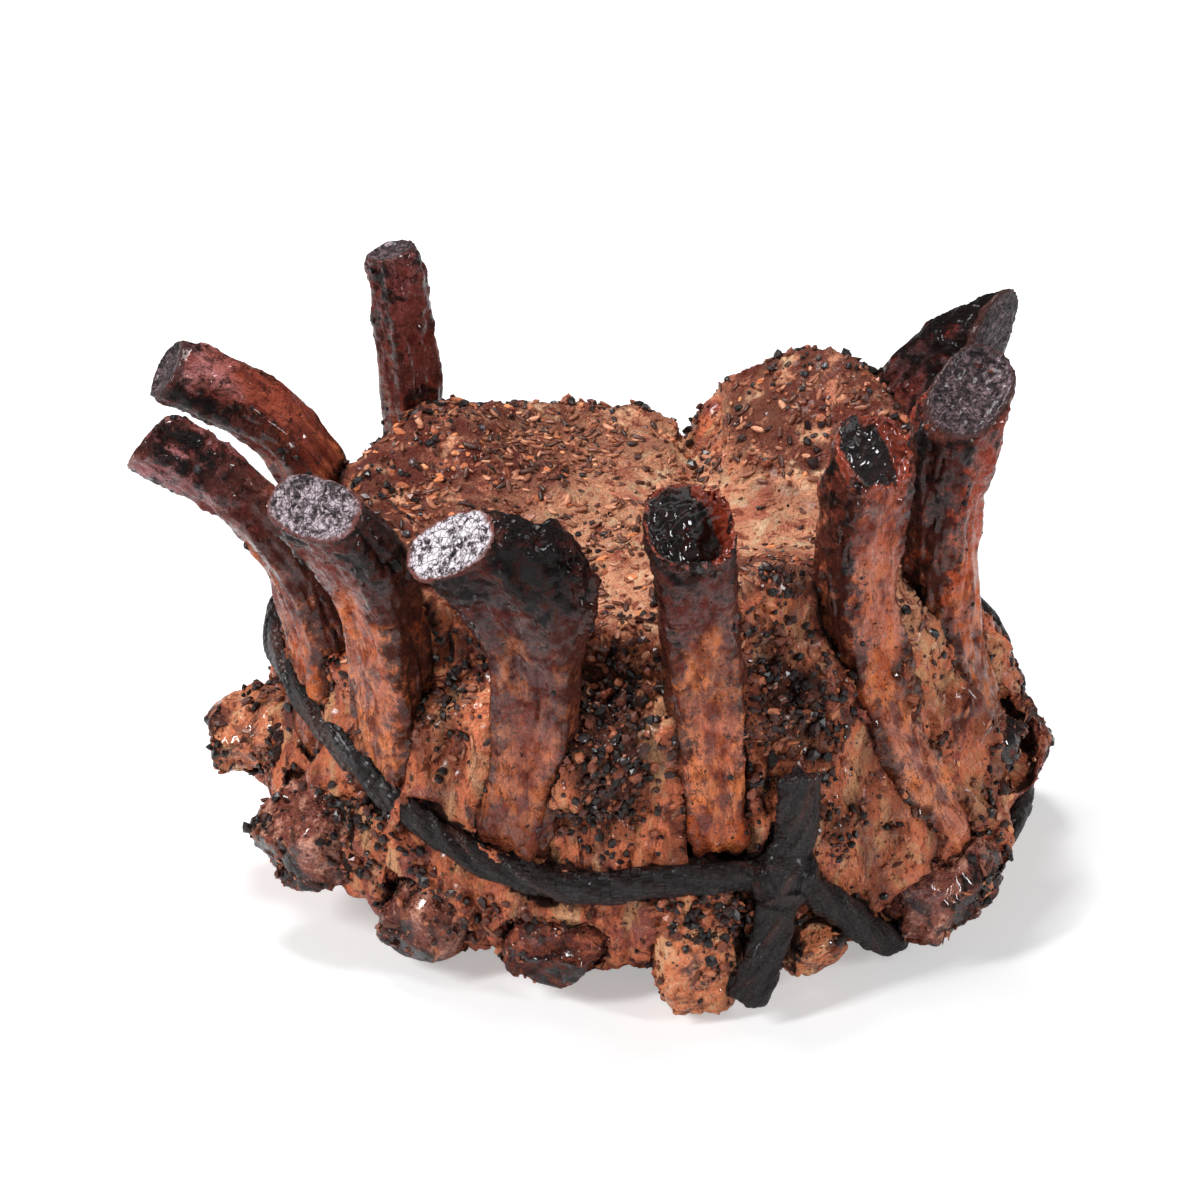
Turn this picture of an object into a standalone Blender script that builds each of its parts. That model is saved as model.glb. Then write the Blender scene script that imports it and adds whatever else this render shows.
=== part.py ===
"""Pork crown roast: a rack of ribs bent into a ring, bones up and out, tied round the waist.

Metres, +Z up. The origin is the middle of the flat foot that the roast stands on, and -Y is its front.
Places on the ring are given as (azimuth, reach, height): degrees from the front towards +X, then two
lengths in millimetres. The ring is an ellipse, flatter from front to back than it is wide.
"""

import math
import random
from collections import namedtuple

import bmesh
import bpy
from mathutils import Vector, noise

MM = 0.001

# Ring
DEPTH_RATIO = 0.84  # front-to-back size over width
CLEARANCE = 0.35  # gap left between pieces that touch, mm

# Ribs: three places along the bone, its breadth at mid-shaft and at the sawn head, its thickness,
# how far the saw cut leans outwards and sideways, in degrees, and how far a flap of dried meat spreads
# from one side of the head, in millimetres.
Rib = namedtuple("Rib", "foot bend tip shaft head thickness cut_out cut_side flap")
RIBS = {
    "rib_1": Rib((-132, 74, 44), (-132, 74, 96), (-130, 77, 139), 15, 13, 11, 4, 0, 0),
    "rib_2": Rib((-104, 76, 44), (-101, 77, 95), (-97, 110, 123), 17, 16, 13, -20, 0, 0),
    "rib_3": Rib((-66, 80, 44), (-68, 84, 93), (-76, 113, 122), 18, 19, 14, -18, 0, 0),
    "rib_4": Rib((-47, 78, 41), (-46, 80, 88), (-46, 98, 124), 19, 26, 15, 8, 8, 4),
    "rib_5": Rib((-23, 77, 38), (-18, 78, 88), (-25, 97, 124), 20, 24, 15, 6, 6, 12),
    "rib_6": Rib((12, 77, 38), (10, 74, 86), (5.5, 91, 130), 17, 20, 15, 40, 10, 0),
    "rib_7": Rib((55, 86, 25), (44, 70, 82), (41, 75, 133), 18, 23, 15, 36, 10, 0),
    "rib_8": Rib((75, 81, 38), (67, 72, 88), (68, 77, 135), 19, 21, 18, 5, -38, 0),
    "rib_9": Rib((122, 76, 44), (126, 74, 92), (110, 86, 121), 19, 27, 19, 0, -36, 0),
}
RIB_SECTIONS = 9
RIB_SIDES = 12
RIB_SQUARENESS = 2.5  # exponent of the superellipse that a bone's section follows
FOOT_TAPER = 0.9  # breadth at the buried end over breadth at mid-shaft
MARROW_RIM = 0.80  # the marrow's size within the sawn end
MARROW_DEPTH = 1.4  # how far the marrow has shrunk below the bone's rim, mm

# Knuckles: the split backbone, one lump under each rib. Inner and outer (reach, height), then breadth
# round the ring, depth across, and squareness (2 is an ellipse, 5 nearly a box).
Knuckle = namedtuple("Knuckle", "azimuth inner outer breadth depth squareness")
KNUCKLES = {
    "knuckle_1": Knuckle(-84, (66, 42), (102, 35), 26, 21, 2.3),
    "knuckle_2": Knuckle(-60, (66, 36), (97, 22), 24, 25, 3.6),
    "knuckle_3": Knuckle(-38, (62, 25), (88, 9.5), 22, 20, 3.0),
    "knuckle_4": Knuckle(-15, (62, 22), (86, 11.5), 26, 19, 2.4),
    "knuckle_5": Knuckle(9, (75, 33), (82, 1.5), 22, 19, 4.0),
    "knuckle_6": Knuckle(28.5, (62, 19), (86, 10), 21, 19, 2.4),
    "knuckle_7": Knuckle(53, (64, 23), (95, 14), 29, 22, 4.0),
    "knuckle_8": Knuckle(75.5, (64, 43), (90, 37), 21, 20, 2.6),
    "knuckle_9": Knuckle(103, (70, 24), (100, 14), 24, 25, 2.8),
    "knuckle_10": Knuckle(131, (62, 27), (88, 15), 22, 20, 3.2),
    "knuckle_11": Knuckle(157, (62, 28), (87, 17), 21, 19, 2.6),
    "knuckle_12": Knuckle(-160, (62, 30), (87, 18), 22, 19, 3.2),
    "knuckle_13": Knuckle(-134, (64, 32), (89, 21), 22, 20, 2.6),
    "knuckle_14": Knuckle(-109, (64, 36), (92, 27), 20, 20, 3.2),
}
KNUCKLE_SECTIONS = 6
KNUCKLE_SIDES = 10

# Tie: a broad strip of casing drawn round the waist. It runs high on the left, dips at the front and
# passes under knuckle_7, and its ends leave the knot upwards and downwards.
TIE_HEIGHT = 7.4
TIE_THICKNESS = 5.0
TIE_SIDES = 8
TIE_ROUTE = [
    (-84, 86, 65), (-69, 85, 61), (-54, 84.5, 55), (-38, 84, 45), (-25, 84, 37.5), (-10, 84, 34.5),
    (8, 85, 38), (20, 85, 36), (29, 85, 27), (36, 86, 15.5), (45, 83, 6), (55, 78, 4.6),
    (65, 82, 8), (74, 91, 18), (88, 92, 25), (99, 92, 35), (110, 90, 46), (122, 86, 53),
    (136, 81, 56), (154, 78, 56), (172, 76.5, 56), (-166, 77, 58), (-146, 77, 61), (-124, 77.5, 64),
    (-103, 81, 68),
]
TIE_POINTS = 60
KNOT_PLACE = (21, 87, 36)
KNOT_SIZE = (8.0, 5.5, 8.0)  # half breadth, half depth and half height of the wrapped lump, mm
TAIL_UP = [(21, 86.5, 39), (23, 86, 50), (24, 84, 61)]
TAIL_DOWN = [(20.5, 87, 32), (18, 89.5, 20), (15, 90.5, 7)]
TAIL_HEIGHT = 9.5  # breadth of the tails
TAIL_SECTIONS = 6

# Meat: the wall's profile from the foot to the rim, as (reach, height), for a round of the ring.
MEAT_PROFILE = [(46, 0), (60, 2), (71, 8), (78, 20), (81, 33), (79, 46), (75, 58), (70, 70), (67, 81),
                (65, 90), (60, 95)]
MEAT_ROWS = 15
MEAT_STEPS = 66
TOP_ROWS = 7
LEFT_SWELL, RIGHT_SWELL = 0.08, 0.12  # extra reach at the two sides, as a share
TOP_HEIGHT = 91
TOP_HUMPS = [  # (x, y, radius, rise): the two ends of the loin stand up at the back, the rim at the front
    (44, 38, 19, 22), (-34, 40, 20, 5), (-6, -52, 15, -3), (30, -44, 14, 9), (-62, 4, 18, 5),
    (26, 10, 16, -5), (-45, 26, 9, 8),
]
SEAM_BACK, SEAM_FRONT = Vector((8, 62)), Vector((22, -4))  # where the rack's two ends meet
SEAM_DEPTH, SEAM_WIDTH = 15, 5.0
SEAM_AZIMUTH, SEAM_GROOVE, SEAM_SPREAD = 173, 5.0, 5.5  # the same seam down the back of the wall
RIB_HOLLOW = 4.5  # how far the meat sinks between the bones
WALL_FILL = [  # (azimuth, height, spread in azimuth and in height, mm out): where the wall is fuller or torn
    (27, 56, 11, 24, 5), (63, 66, 8, 18, 3.5), (92, 58, 14, 24, 4), (-34, 54, 8, 18, 3), (-6, 72, 9, 13, -5),
]
HOLLOW_HEIGHT, HOLLOW_SPREAD = 68, 22
CRAG_SIZE, CRAG_DEPTH = 13.0, 2.6
CALM_MIDDLE = 34  # the relief fades towards the middle of the top over this reach
KNUCKLE_CRAG = 2.0

# Spice crumbs big enough to see from a step away, fused to the meat's top and upper wall
CRUMB_COUNT = 11
CRUMB_SIZES = (1.7, 2.9)  # half length, mm
CRUMB_FLOOR = 60  # none is lower than this
CRUMB_CLEAR = 4.0  # distance from a crumb's middle to another piece
SEED = 7


def ring_point(azimuth, reach, height):
    """The point at this azimuth, reach and height, in metres."""
    turn = math.radians(azimuth)
    return Vector((reach * math.sin(turn), -reach * DEPTH_RATIO * math.cos(turn), height)) * MM


def ring_outward(azimuth):
    """The level direction that points straight out of the ring at this azimuth."""
    turn = math.radians(azimuth)
    return Vector((math.sin(turn), -math.cos(turn) / DEPTH_RATIO, 0)).normalized()


def azimuth_of(point):
    return math.degrees(math.atan2(point.x, -point.y / DEPTH_RATIO))


def smooth(value, low, high):
    """0 below low, 1 above high, and an S-shaped ramp between."""
    share = max(0.0, min(1.0, (value - low) / (high - low)))
    return share * share * (3 - 2 * share)


def through(points, share, closed=False):
    """The point at this share, 0 to 1, of a smooth Catmull-Rom curve through the points."""
    count = len(points)
    spans = count if closed else count - 1
    at = min(share * spans, spans - 1e-9)
    first = int(at)
    t = at - first

    def pick(index):
        return points[index % count] if closed else points[max(0, min(count - 1, index))]

    a, b, c, d = (pick(first + step) for step in (-1, 0, 1, 2))
    return 0.5 * (2 * b + (c - a) * t + (2 * a - 5 * b + 4 * c - d) * t * t + (3 * b - a - 3 * c + d) * t**3)


def superellipse(angle, half_width, half_depth, exponent):
    """A point of a squared-off ellipse."""
    cosine, sine = math.cos(angle), math.sin(angle)
    power = 2 / exponent
    return (
        half_width * math.copysign(abs(cosine) ** power, cosine),
        half_depth * math.copysign(abs(sine) ** power, sine),
    )


def material(name, colour, roughness):
    made = bpy.data.materials.new(name)
    made.use_nodes = True
    shader = made.node_tree.nodes["Principled BSDF"]
    shader.inputs["Base Color"].default_value = (*colour, 1)
    shader.inputs["Roughness"].default_value = roughness
    shader.inputs["Metallic"].default_value = 0
    return made


def solid(name, mesh, finish):
    """A mesh as a named object with its material, its normals facing out."""
    work = bmesh.new()
    work.from_mesh(mesh)
    bmesh.ops.recalc_face_normals(work, faces=work.faces)
    work.to_mesh(mesh)
    work.free()
    thing = bpy.data.objects.new(name, mesh)
    bpy.context.scene.collection.objects.link(thing)
    mesh.materials.append(finish)
    mesh.shade_smooth()
    mesh.set_sharp_from_angle(angle=math.radians(40))
    return thing


def loft(name, rings, closed=False):
    """A mesh skinned over rings of equal count: capped with a fan at each end, or closed into a loop."""
    mesh = bpy.data.meshes.new(name)
    work = bmesh.new()
    rows = [[work.verts.new(point) for point in ring] for ring in rings]
    pairs = list(zip(rows, rows[1:] + rows[:1])) if closed else list(zip(rows, rows[1:]))
    for low, high in pairs:
        for i in range(len(low)):
            j = (i + 1) % len(low)
            work.faces.new((low[i], low[j], high[j], high[i]))
    if not closed:
        for row in (rows[0], rows[-1]):
            middle = work.verts.new(sum((v.co for v in row), Vector()) / len(row))
            for i in range(len(row)):
                work.faces.new((row[i], row[(i + 1) % len(row)], middle))
    bmesh.ops.triangulate(work, faces=work.faces)
    work.to_mesh(mesh)
    work.free()
    return mesh


def ruffled(point, scale, depth):
    """Uneven relief: how far, in metres, the surface stands out at this point."""
    return noise.fractal(point / (scale * MM), 0.8, 2.0, 3) * depth * MM


def rib_axis(rib, share):
    """The middle of the bone at this share of its length: an arc through its foot, bend and tip."""
    foot, bend, tip = (ring_point(*place) for place in (rib.foot, rib.bend, rib.tip))
    pull = 2 * bend - (foot + tip) / 2
    return foot * (1 - share) ** 2 + pull * 2 * share * (1 - share) + tip * share**2


def rib_rings(rib, grow=0.0):
    """The bone's sections from foot to sawn head, then the rim and the sunken marrow."""
    rings = []
    length = (rib_axis(rib, 1) - rib_axis(rib, 0)).length / MM
    for number in range(RIB_SECTIONS):
        share = number / (RIB_SECTIONS - 1)
        centre = rib_axis(rib, share)
        along = (rib_axis(rib, share + 0.01) - rib_axis(rib, share - 0.01)).normalized()
        out = ring_outward(azimuth_of(centre))
        out = (out - along * out.dot(along)).normalized()
        side = along.cross(out)
        breadth = rib.shaft * (FOOT_TAPER + (1 - FOOT_TAPER) * smooth(share, 0, 0.4))
        breadth += (rib.head - rib.shaft) * smooth(share, 0.62, 1)
        lean_out = math.tan(math.radians(rib.cut_out)) * smooth(share, 0.55, 1)
        lean_side = math.tan(math.radians(rib.cut_side)) * smooth(share, 0.55, 1)
        centre = centre + along * ((share - 0.5) * 2 * grow * MM)
        ring = []
        for turn in range(RIB_SIDES):
            across, deep = superellipse(
                2 * math.pi * turn / RIB_SIDES, breadth / 2, rib.thickness / 2, RIB_SQUARENESS
            )
            if across > 0:
                across += rib.flap * smooth(share, 0.45, 0.78) * (1 - smooth(share, 0.9, 1))
            worn = 1 + 0.09 * noise.noise(Vector((turn * 0.9, share * length / 9, rib.foot[0])))
            across, deep = across * worn, deep * worn
            reach = max(math.hypot(across, deep), 1e-6)
            swell = 1 + grow / reach
            sawn_off = along * (deep * lean_out + across * lean_side)
            ring.append(centre + (side * across * swell + out * deep * swell - sawn_off) * MM)
        rings.append(ring)
    if grow:
        return rings
    sawn = rings[-1]
    middle = sum(sawn, Vector()) / len(sawn)
    face_out = (sawn[0] - middle).cross(sawn[RIB_SIDES // 4] - middle).normalized()
    if face_out.z < 0:
        face_out = -face_out
    rim = [middle + (point - middle) * MARROW_RIM for point in sawn]
    sunk = [middle + (point - middle) * (MARROW_RIM - 0.08) - face_out * MARROW_DEPTH * MM for point in sawn]
    return [*rings, rim, sunk]


def knuckle_rings(knuckle, grow=0.0):
    """A lump of backbone from inside the meat to its rounded or sawn outer end."""
    start = ring_point(knuckle.azimuth, *knuckle.inner)
    end = ring_point(knuckle.azimuth, *knuckle.outer)
    along = (end - start).normalized()
    side = Vector((0, 0, 1)).cross(ring_outward(knuckle.azimuth)).normalized()
    up = along.cross(side).normalized()
    rings = []
    for number in range(KNUCKLE_SECTIONS):
        share = number / (KNUCKLE_SECTIONS - 1)
        # squarer lumps keep their size nearly to the end, round ones draw in sooner
        drawn_in = (1 - share ** (2.2 * knuckle.squareness)) ** (1 / knuckle.squareness)
        size = max(drawn_in, 0.55 + 0.05 * knuckle.squareness) * (0.86 + 0.14 * smooth(share, 0, 0.5))
        centre = start.lerp(end, share) + along * ((share - 0.5) * 2 * grow * MM)
        ring = []
        for turn in range(KNUCKLE_SIDES):
            angle = 2 * math.pi * (turn + 0.5) / KNUCKLE_SIDES
            across, high = superellipse(angle, knuckle.breadth / 2, knuckle.depth / 2, knuckle.squareness)
            place = (side * across + up * high) * size * MM
            lump = ruffled(centre + place, 9, KNUCKLE_CRAG) * smooth(share, 0, 0.4)
            ring.append(centre + place + place.normalized() * (lump + grow * MM))
        rings.append(ring)
    return rings


def strip_rings(points, height, closed, grow=0.0):
    """Sections of a strip of casing along a line of points, its broad side against the roast."""
    rings = []
    count = len(points)
    for number, point in enumerate(points):
        before = points[number - 1] if closed or number else point
        after = points[(number + 1) % count] if closed or number < count - 1 else point
        along = (after - before).normalized()
        out = ring_outward(azimuth_of(point))
        out = (out - along * out.dot(along)).normalized()
        up = along.cross(out)
        pinch = 1 + 0.10 * noise.noise(point / (11 * MM))
        ring = []
        for turn in range(TIE_SIDES):
            angle = 2 * math.pi * turn / TIE_SIDES
            high = math.cos(angle) * (height / 2 * pinch + grow)
            deep = math.sin(angle) * (TIE_THICKNESS / 2 / pinch + grow)
            ring.append(point + (up * high + out * deep) * MM)
        rings.append(ring)
    return rings


def tie_parts(name, grow=0.0):
    """Meshes of the loop, the knot and its two tails, which overlap where they are tied."""
    route = [ring_point(*place) for place in TIE_ROUTE]
    loop = [through(route, number / TIE_POINTS, closed=True) for number in range(TIE_POINTS)]
    yield loft(name + "_loop", strip_rings(loop, TIE_HEIGHT, True, grow), closed=True)
    for label, places in (("_up", TAIL_UP), ("_down", TAIL_DOWN)):
        line = [ring_point(*place) for place in places]
        tail = [through(line, number / (TAIL_SECTIONS - 1)) for number in range(TAIL_SECTIONS)]
        yield loft(name + label, strip_rings(tail, TAIL_HEIGHT, False, grow))
    knot = bpy.data.meshes.new(name + "_knot")
    work = bmesh.new()
    bmesh.ops.create_icosphere(work, subdivisions=2, radius=1)
    place, out = ring_point(*KNOT_PLACE), ring_outward(KNOT_PLACE[0])
    side = Vector((0, 0, 1)).cross(out)
    for vert in work.verts:
        x, y, z = vert.co
        half = [size + grow for size in KNOT_SIZE]
        spot = place + (side * x * half[0] + out * y * half[1]) * MM + Vector((0, 0, z * half[2] * MM))
        vert.co = spot + vert.co * ruffled(spot, 6, 0.8)
    work.to_mesh(knot)
    work.free()
    yield knot


def between_ribs(azimuth):
    """0 on a bone's azimuth and 1 midway between two bones."""
    bones = sorted(rib.bend[0] % 360 for rib in RIBS.values())
    here = azimuth % 360
    after = next((bone for bone in bones if bone > here), bones[0] + 360)
    before = next((bone for bone in reversed(bones) if bone <= here), bones[-1] - 360)
    share = (here - before) / (after - before)
    return math.sin(math.pi * share) ** 2


def top_height(x, y):
    """Height of the meat's top, mm: humps where the loin's ends stand up, and the seam between them."""
    height = TOP_HEIGHT
    for hump_x, hump_y, radius, rise in TOP_HUMPS:
        height += rise * math.exp(-((x - hump_x) ** 2 + (y - hump_y) ** 2) / (2 * radius**2))
    line = SEAM_FRONT - SEAM_BACK
    share = max(0.0, min(1.0, (Vector((x, y)) - SEAM_BACK).dot(line) / line.length_squared))
    off = (Vector((x, y)) - SEAM_BACK - line * share).length
    return height - SEAM_DEPTH * (1 - smooth(share, 0.35, 1)) * math.exp(-((off / SEAM_WIDTH) ** 2))


def meat_mesh():
    """The loin: a wall turned through a profile, sunk between the bones, under an uneven top."""
    profile = [Vector(station) for station in MEAT_PROFILE]
    rows = []
    for row in range(MEAT_ROWS + TOP_ROWS):
        ring = []
        for step in range(MEAT_STEPS):
            azimuth = 360 * step / MEAT_STEPS
            if row < MEAT_ROWS:
                reach, height = through(profile, row / (MEAT_ROWS - 1))
                inward = 1.0
            else:
                reach, height = profile[-1]
                inward = 1 - (row - MEAT_ROWS + 1) / (TOP_ROWS + 0.6)
            sideways = math.sin(math.radians(azimuth))
            swell = 1 + (RIGHT_SWELL if sideways > 0 else LEFT_SWELL) * sideways**2
            near = math.exp(-(((height - HOLLOW_HEIGHT) / HOLLOW_SPREAD) ** 2)) if inward == 1 else 0
            seam = math.exp(-(((azimuth - SEAM_AZIMUTH) / SEAM_SPREAD) ** 2)) * smooth(height, 8, 60)
            full = sum(
                out * math.exp(-(((azimuth + 180 - at) % 360 - 180) / wide) ** 2 - ((height - level) / tall) ** 2)
                for at, level, wide, tall, out in WALL_FILL
            ) * (inward == 1)
            hollow = RIB_HOLLOW * near * between_ribs(azimuth)
            reach = (reach * swell - hollow - SEAM_GROOVE * seam + full) * inward
            point = ring_point(azimuth, reach, height)
            lift = top_height(point.x / MM, point.y / MM) - TOP_HEIGHT
            crown = top_height(point.x / MM, point.y / MM) if inward < 1 else height
            point.z = (crown if inward < 1 else height + lift * smooth(height, 55, 95)) * MM
            ring.append(point)
        rows.append(ring)
    mesh = loft("meat", rows)
    mesh.update()
    for vert in mesh.vertices:
        rough = smooth(vert.co.z / MM, 1, 14) * smooth(math.hypot(vert.co.x, vert.co.y) / MM, 0, CALM_MIDDLE)
        vert.co += vert.normal * ruffled(vert.co, CRAG_SIZE, CRAG_DEPTH) * rough
        vert.co.z = max(vert.co.z, 0)
    return mesh


def crumb_mesh(name, place, normal, half_length, draws):
    """One flattened, angular spice crumb lying on the meat."""
    mesh = bpy.data.meshes.new(name)
    work = bmesh.new()
    bmesh.ops.create_icosphere(work, subdivisions=1, radius=1)
    along = normal.orthogonal().normalized()
    across = normal.cross(along)
    spin = draws.uniform(0, math.pi)
    along, across = (
        along * math.cos(spin) + across * math.sin(spin),
        across * math.cos(spin) - along * math.sin(spin),
    )
    for vert in work.verts:
        x, y, z = vert.co * half_length * draws.uniform(0.85, 1.1)
        vert.co = place + (along * x + across * y * 0.62 + normal * z * 0.5) * MM
    work.to_mesh(mesh)
    work.free()
    return mesh


def crumbs(meat, others):
    """Crumbs at faces of the meat's top and upper wall, clear of every other piece."""
    draws = random.Random(SEED)
    spots = [
        (face.center.copy(), face.normal.copy())
        for face in meat.data.polygons
        if face.center.z / MM > CRUMB_FLOOR and face.area > 3 * MM * MM
    ]
    draws.shuffle(spots)
    made = []
    taken = []
    for place, normal in spots:
        if len(made) == CRUMB_COUNT:
            break
        near = [other.closest_point_on_mesh(place)[1] for other in others]
        if min((place - point).length for point in near + taken) < CRUMB_CLEAR * MM:
            continue
        half_length = draws.uniform(*CRUMB_SIZES)
        name = f"crumb_{len(made)}"
        made.append(bpy.data.objects.new(name, crumb_mesh(name, place, normal, half_length, draws)))
        taken.append(place)
    return made


def boolean(target, operation, tools, solver="EXACT"):
    """Joins or cuts with all the tools at once, applies it, and drops any loose scrap."""
    group = bpy.data.collections.new("tools")
    bpy.context.scene.collection.children.link(group)
    for tool in tools:
        group.objects.link(tool)
    step = target.modifiers.new(operation.lower(), "BOOLEAN")
    step.operation = operation
    step.operand_type = "COLLECTION"
    step.collection = group
    step.solver = solver
    bpy.context.view_layer.objects.active = target
    bpy.context.view_layer.update()
    bpy.ops.object.modifier_apply(modifier=step.name)
    for tool in tools:
        group.objects.unlink(tool)
    bpy.data.collections.remove(group)
    keep_largest(target)


def keep_largest(thing):
    """Removes every loose island but the one with most faces."""
    work = bmesh.new()
    work.from_mesh(thing.data)
    left = set(work.faces)
    islands = []
    while left:
        queue = [left.pop()]
        island = set(queue)
        while queue:
            near = [face for edge in queue.pop().edges if edge.is_manifold for face in edge.link_faces]
            for face in near:
                if face in left:
                    left.remove(face)
                    island.add(face)
                    queue.append(face)
        islands.append(island)
    islands.sort(key=len)
    scraps = [face for island in islands[:-1] for face in island]
    bmesh.ops.delete(work, geom=scraps, context="FACES")
    work.to_mesh(thing.data)
    work.free()


def cutter(mesh):
    """A helper object that other pieces are cut with, never shown."""
    work = bmesh.new()
    work.from_mesh(mesh)
    bmesh.ops.recalc_face_normals(work, faces=work.faces)
    work.to_mesh(mesh)
    work.free()
    return bpy.data.objects.new(mesh.name, mesh)


def main():
    for thing in list(bpy.data.objects):
        bpy.data.objects.remove(thing)
    roasted = material("roasted_meat", (0.36, 0.15, 0.06), 0.45)
    bone = material("browned_bone", (0.30, 0.13, 0.07), 0.4)
    crust = material("knuckle_crust", (0.28, 0.11, 0.05), 0.4)
    casing = material("dried_casing", (0.03, 0.022, 0.025), 0.5)

    tie_tools = [cutter(mesh) for mesh in tie_parts("tie_tool", CLEARANCE)]
    tie_loop, *tie_rest = tie_parts("tie")
    tie_rest = [cutter(mesh) for mesh in tie_rest]
    tie = solid("tie", tie_loop, casing)
    boolean(tie, "UNION", tie_rest)

    knuckles = {name: solid(name, loft(name, knuckle_rings(k)), crust) for name, k in KNUCKLES.items()}
    knuckle_tools = [
        cutter(loft(name + "_tool", knuckle_rings(k, CLEARANCE))) for name, k in KNUCKLES.items()
    ]
    for thing in knuckles.values():
        boolean(thing, "DIFFERENCE", tie_tools)

    ribs = {name: solid(name, loft(name, rib_rings(rib)), bone) for name, rib in RIBS.items()}
    rib_tools = [cutter(loft(name + "_tool", rib_rings(rib, CLEARANCE))) for name, rib in RIBS.items()]
    for thing in ribs.values():
        boolean(thing, "DIFFERENCE", [*tie_tools, *knuckle_tools])

    meat = solid("meat", meat_mesh(), roasted)
    pieces = [*ribs.values(), *knuckles.values(), tie]
    spice = crumbs(meat, pieces)
    boolean(meat, "UNION", spice)
    boolean(meat, "DIFFERENCE", [*tie_tools, *knuckle_tools, *rib_tools])
    for tool in [*tie_tools, *tie_rest, *knuckle_tools, *rib_tools, *spice]:
        bpy.data.objects.remove(tool)


main()
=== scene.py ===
# %% [markdown]
# # A pork crown roast, modelled and finished
# Two racks of pork ribs are bent into a ring with the bones standing up and out, tied round the waist with
# a strip of dried casing and roasted until the bone ends char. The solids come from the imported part. This
# lesson gives each of them a skin with real relief, spreads the spices, and builds the finishes.
# Everything is in metres, +Z up, and the front of the roast looks along -Y.

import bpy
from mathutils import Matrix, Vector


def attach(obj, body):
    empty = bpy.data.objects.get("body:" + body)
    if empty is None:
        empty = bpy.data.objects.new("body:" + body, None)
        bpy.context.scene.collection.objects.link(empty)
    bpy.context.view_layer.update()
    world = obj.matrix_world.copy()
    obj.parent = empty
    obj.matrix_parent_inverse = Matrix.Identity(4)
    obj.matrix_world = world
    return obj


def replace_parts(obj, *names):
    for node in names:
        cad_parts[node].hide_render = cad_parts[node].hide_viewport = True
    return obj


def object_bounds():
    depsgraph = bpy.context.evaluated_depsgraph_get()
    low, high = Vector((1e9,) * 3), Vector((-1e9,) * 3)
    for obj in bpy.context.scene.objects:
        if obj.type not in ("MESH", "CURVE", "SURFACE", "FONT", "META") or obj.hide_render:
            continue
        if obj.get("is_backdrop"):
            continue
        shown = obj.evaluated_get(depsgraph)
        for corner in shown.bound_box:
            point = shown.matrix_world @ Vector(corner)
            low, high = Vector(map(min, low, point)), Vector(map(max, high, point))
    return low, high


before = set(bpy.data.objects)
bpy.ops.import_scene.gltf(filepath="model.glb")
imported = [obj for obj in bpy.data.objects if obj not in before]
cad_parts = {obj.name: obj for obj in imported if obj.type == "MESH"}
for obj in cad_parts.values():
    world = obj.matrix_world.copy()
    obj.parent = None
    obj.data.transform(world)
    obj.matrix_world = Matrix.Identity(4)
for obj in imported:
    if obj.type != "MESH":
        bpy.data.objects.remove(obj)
CAD_LOW, CAD_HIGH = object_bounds()
print("solids:", len(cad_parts), "box:", [round(v, 4) for v in (*CAD_LOW, *CAD_HIGH)])

# %% Modules and small measures
import math
from collections import namedtuple

import bpy
import numpy as np
from mathutils import Vector
from mathutils.bvhtree import BVHTree

MM = 0.001
LIGHT_LOSS = 1.6  # a surface sends back less light than white paper, so its own colour is this much lighter


def srgb(red, green, blue):
    """A colour as it looks in soft light, in 0 to 255 screen values, as the linear numbers that shaders want."""
    flat = (((v / 255 + 0.055) / 1.055) ** 2.4 if v > 10 else v / 255 / 12.92 for v in (red, green, blue))
    return tuple(min(1.0, LIGHT_LOSS * v) for v in flat)


def ramp_up(value, low, high):
    """0 below low, 1 above high, and an S-shaped ramp between, for numbers or arrays."""
    share = np.clip((np.asarray(value, float) - low) / (high - low), 0, 1)
    return share * share * (3 - 2 * share)


print("a warm brown is", [round(v, 3) for v in srgb(150, 85, 60)])

# %% [markdown]
# ## Where things are on the ring
# Each place on the roast is an azimuth from the front, a reach from the middle and a height. The ring is
# a little flatter from front to back than it is wide. The bones are listed with three places along them,
# their sizes in millimetres, the lean of the saw cut, and how far the marrow sinks below the rim.

# %% The ring, the bones, the knuckles and the tie
DEPTH_RATIO = 0.84

Rib = namedtuple("Rib", "foot bend tip shaft head thickness cut_out cut_side sink")
RIBS = {
    "rib_1": Rib((-132, 74, 44), (-132, 74, 96), (-130, 77, 139), 15, 13, 11, 4, 0, -1.0),
    "rib_2": Rib((-104, 76, 44), (-101, 77, 95), (-97, 110, 123), 17, 16, 13, -20, 0, -0.9),
    "rib_3": Rib((-66, 80, 44), (-68, 84, 93), (-76, 113, 122), 18, 19, 14, -18, 0, -0.6),
    "rib_4": Rib((-47, 78, 41), (-46, 80, 88), (-46, 98, 124), 19, 26, 15, 8, 8, -1.2),
    "rib_5": Rib((-23, 77, 38), (-18, 78, 88), (-25, 97, 124), 20, 24, 15, 6, 6, -1.2),
    "rib_6": Rib((12, 77, 38), (10, 74, 86), (5.5, 91, 130), 17, 20, 15, 40, 10, 5.5),
    "rib_7": Rib((55, 86, 25), (44, 70, 82), (41, 75, 133), 18, 23, 15, 36, 10, 2.0),
    "rib_8": Rib((75, 81, 38), (67, 72, 88), (68, 77, 135), 19, 21, 18, 5, -38, -0.3),
    "rib_9": Rib((122, 76, 44), (126, 74, 92), (110, 86, 121), 19, 27, 19, 0, -36, 0.8),
}
Knuckle = namedtuple("Knuckle", "azimuth inner outer")
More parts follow.
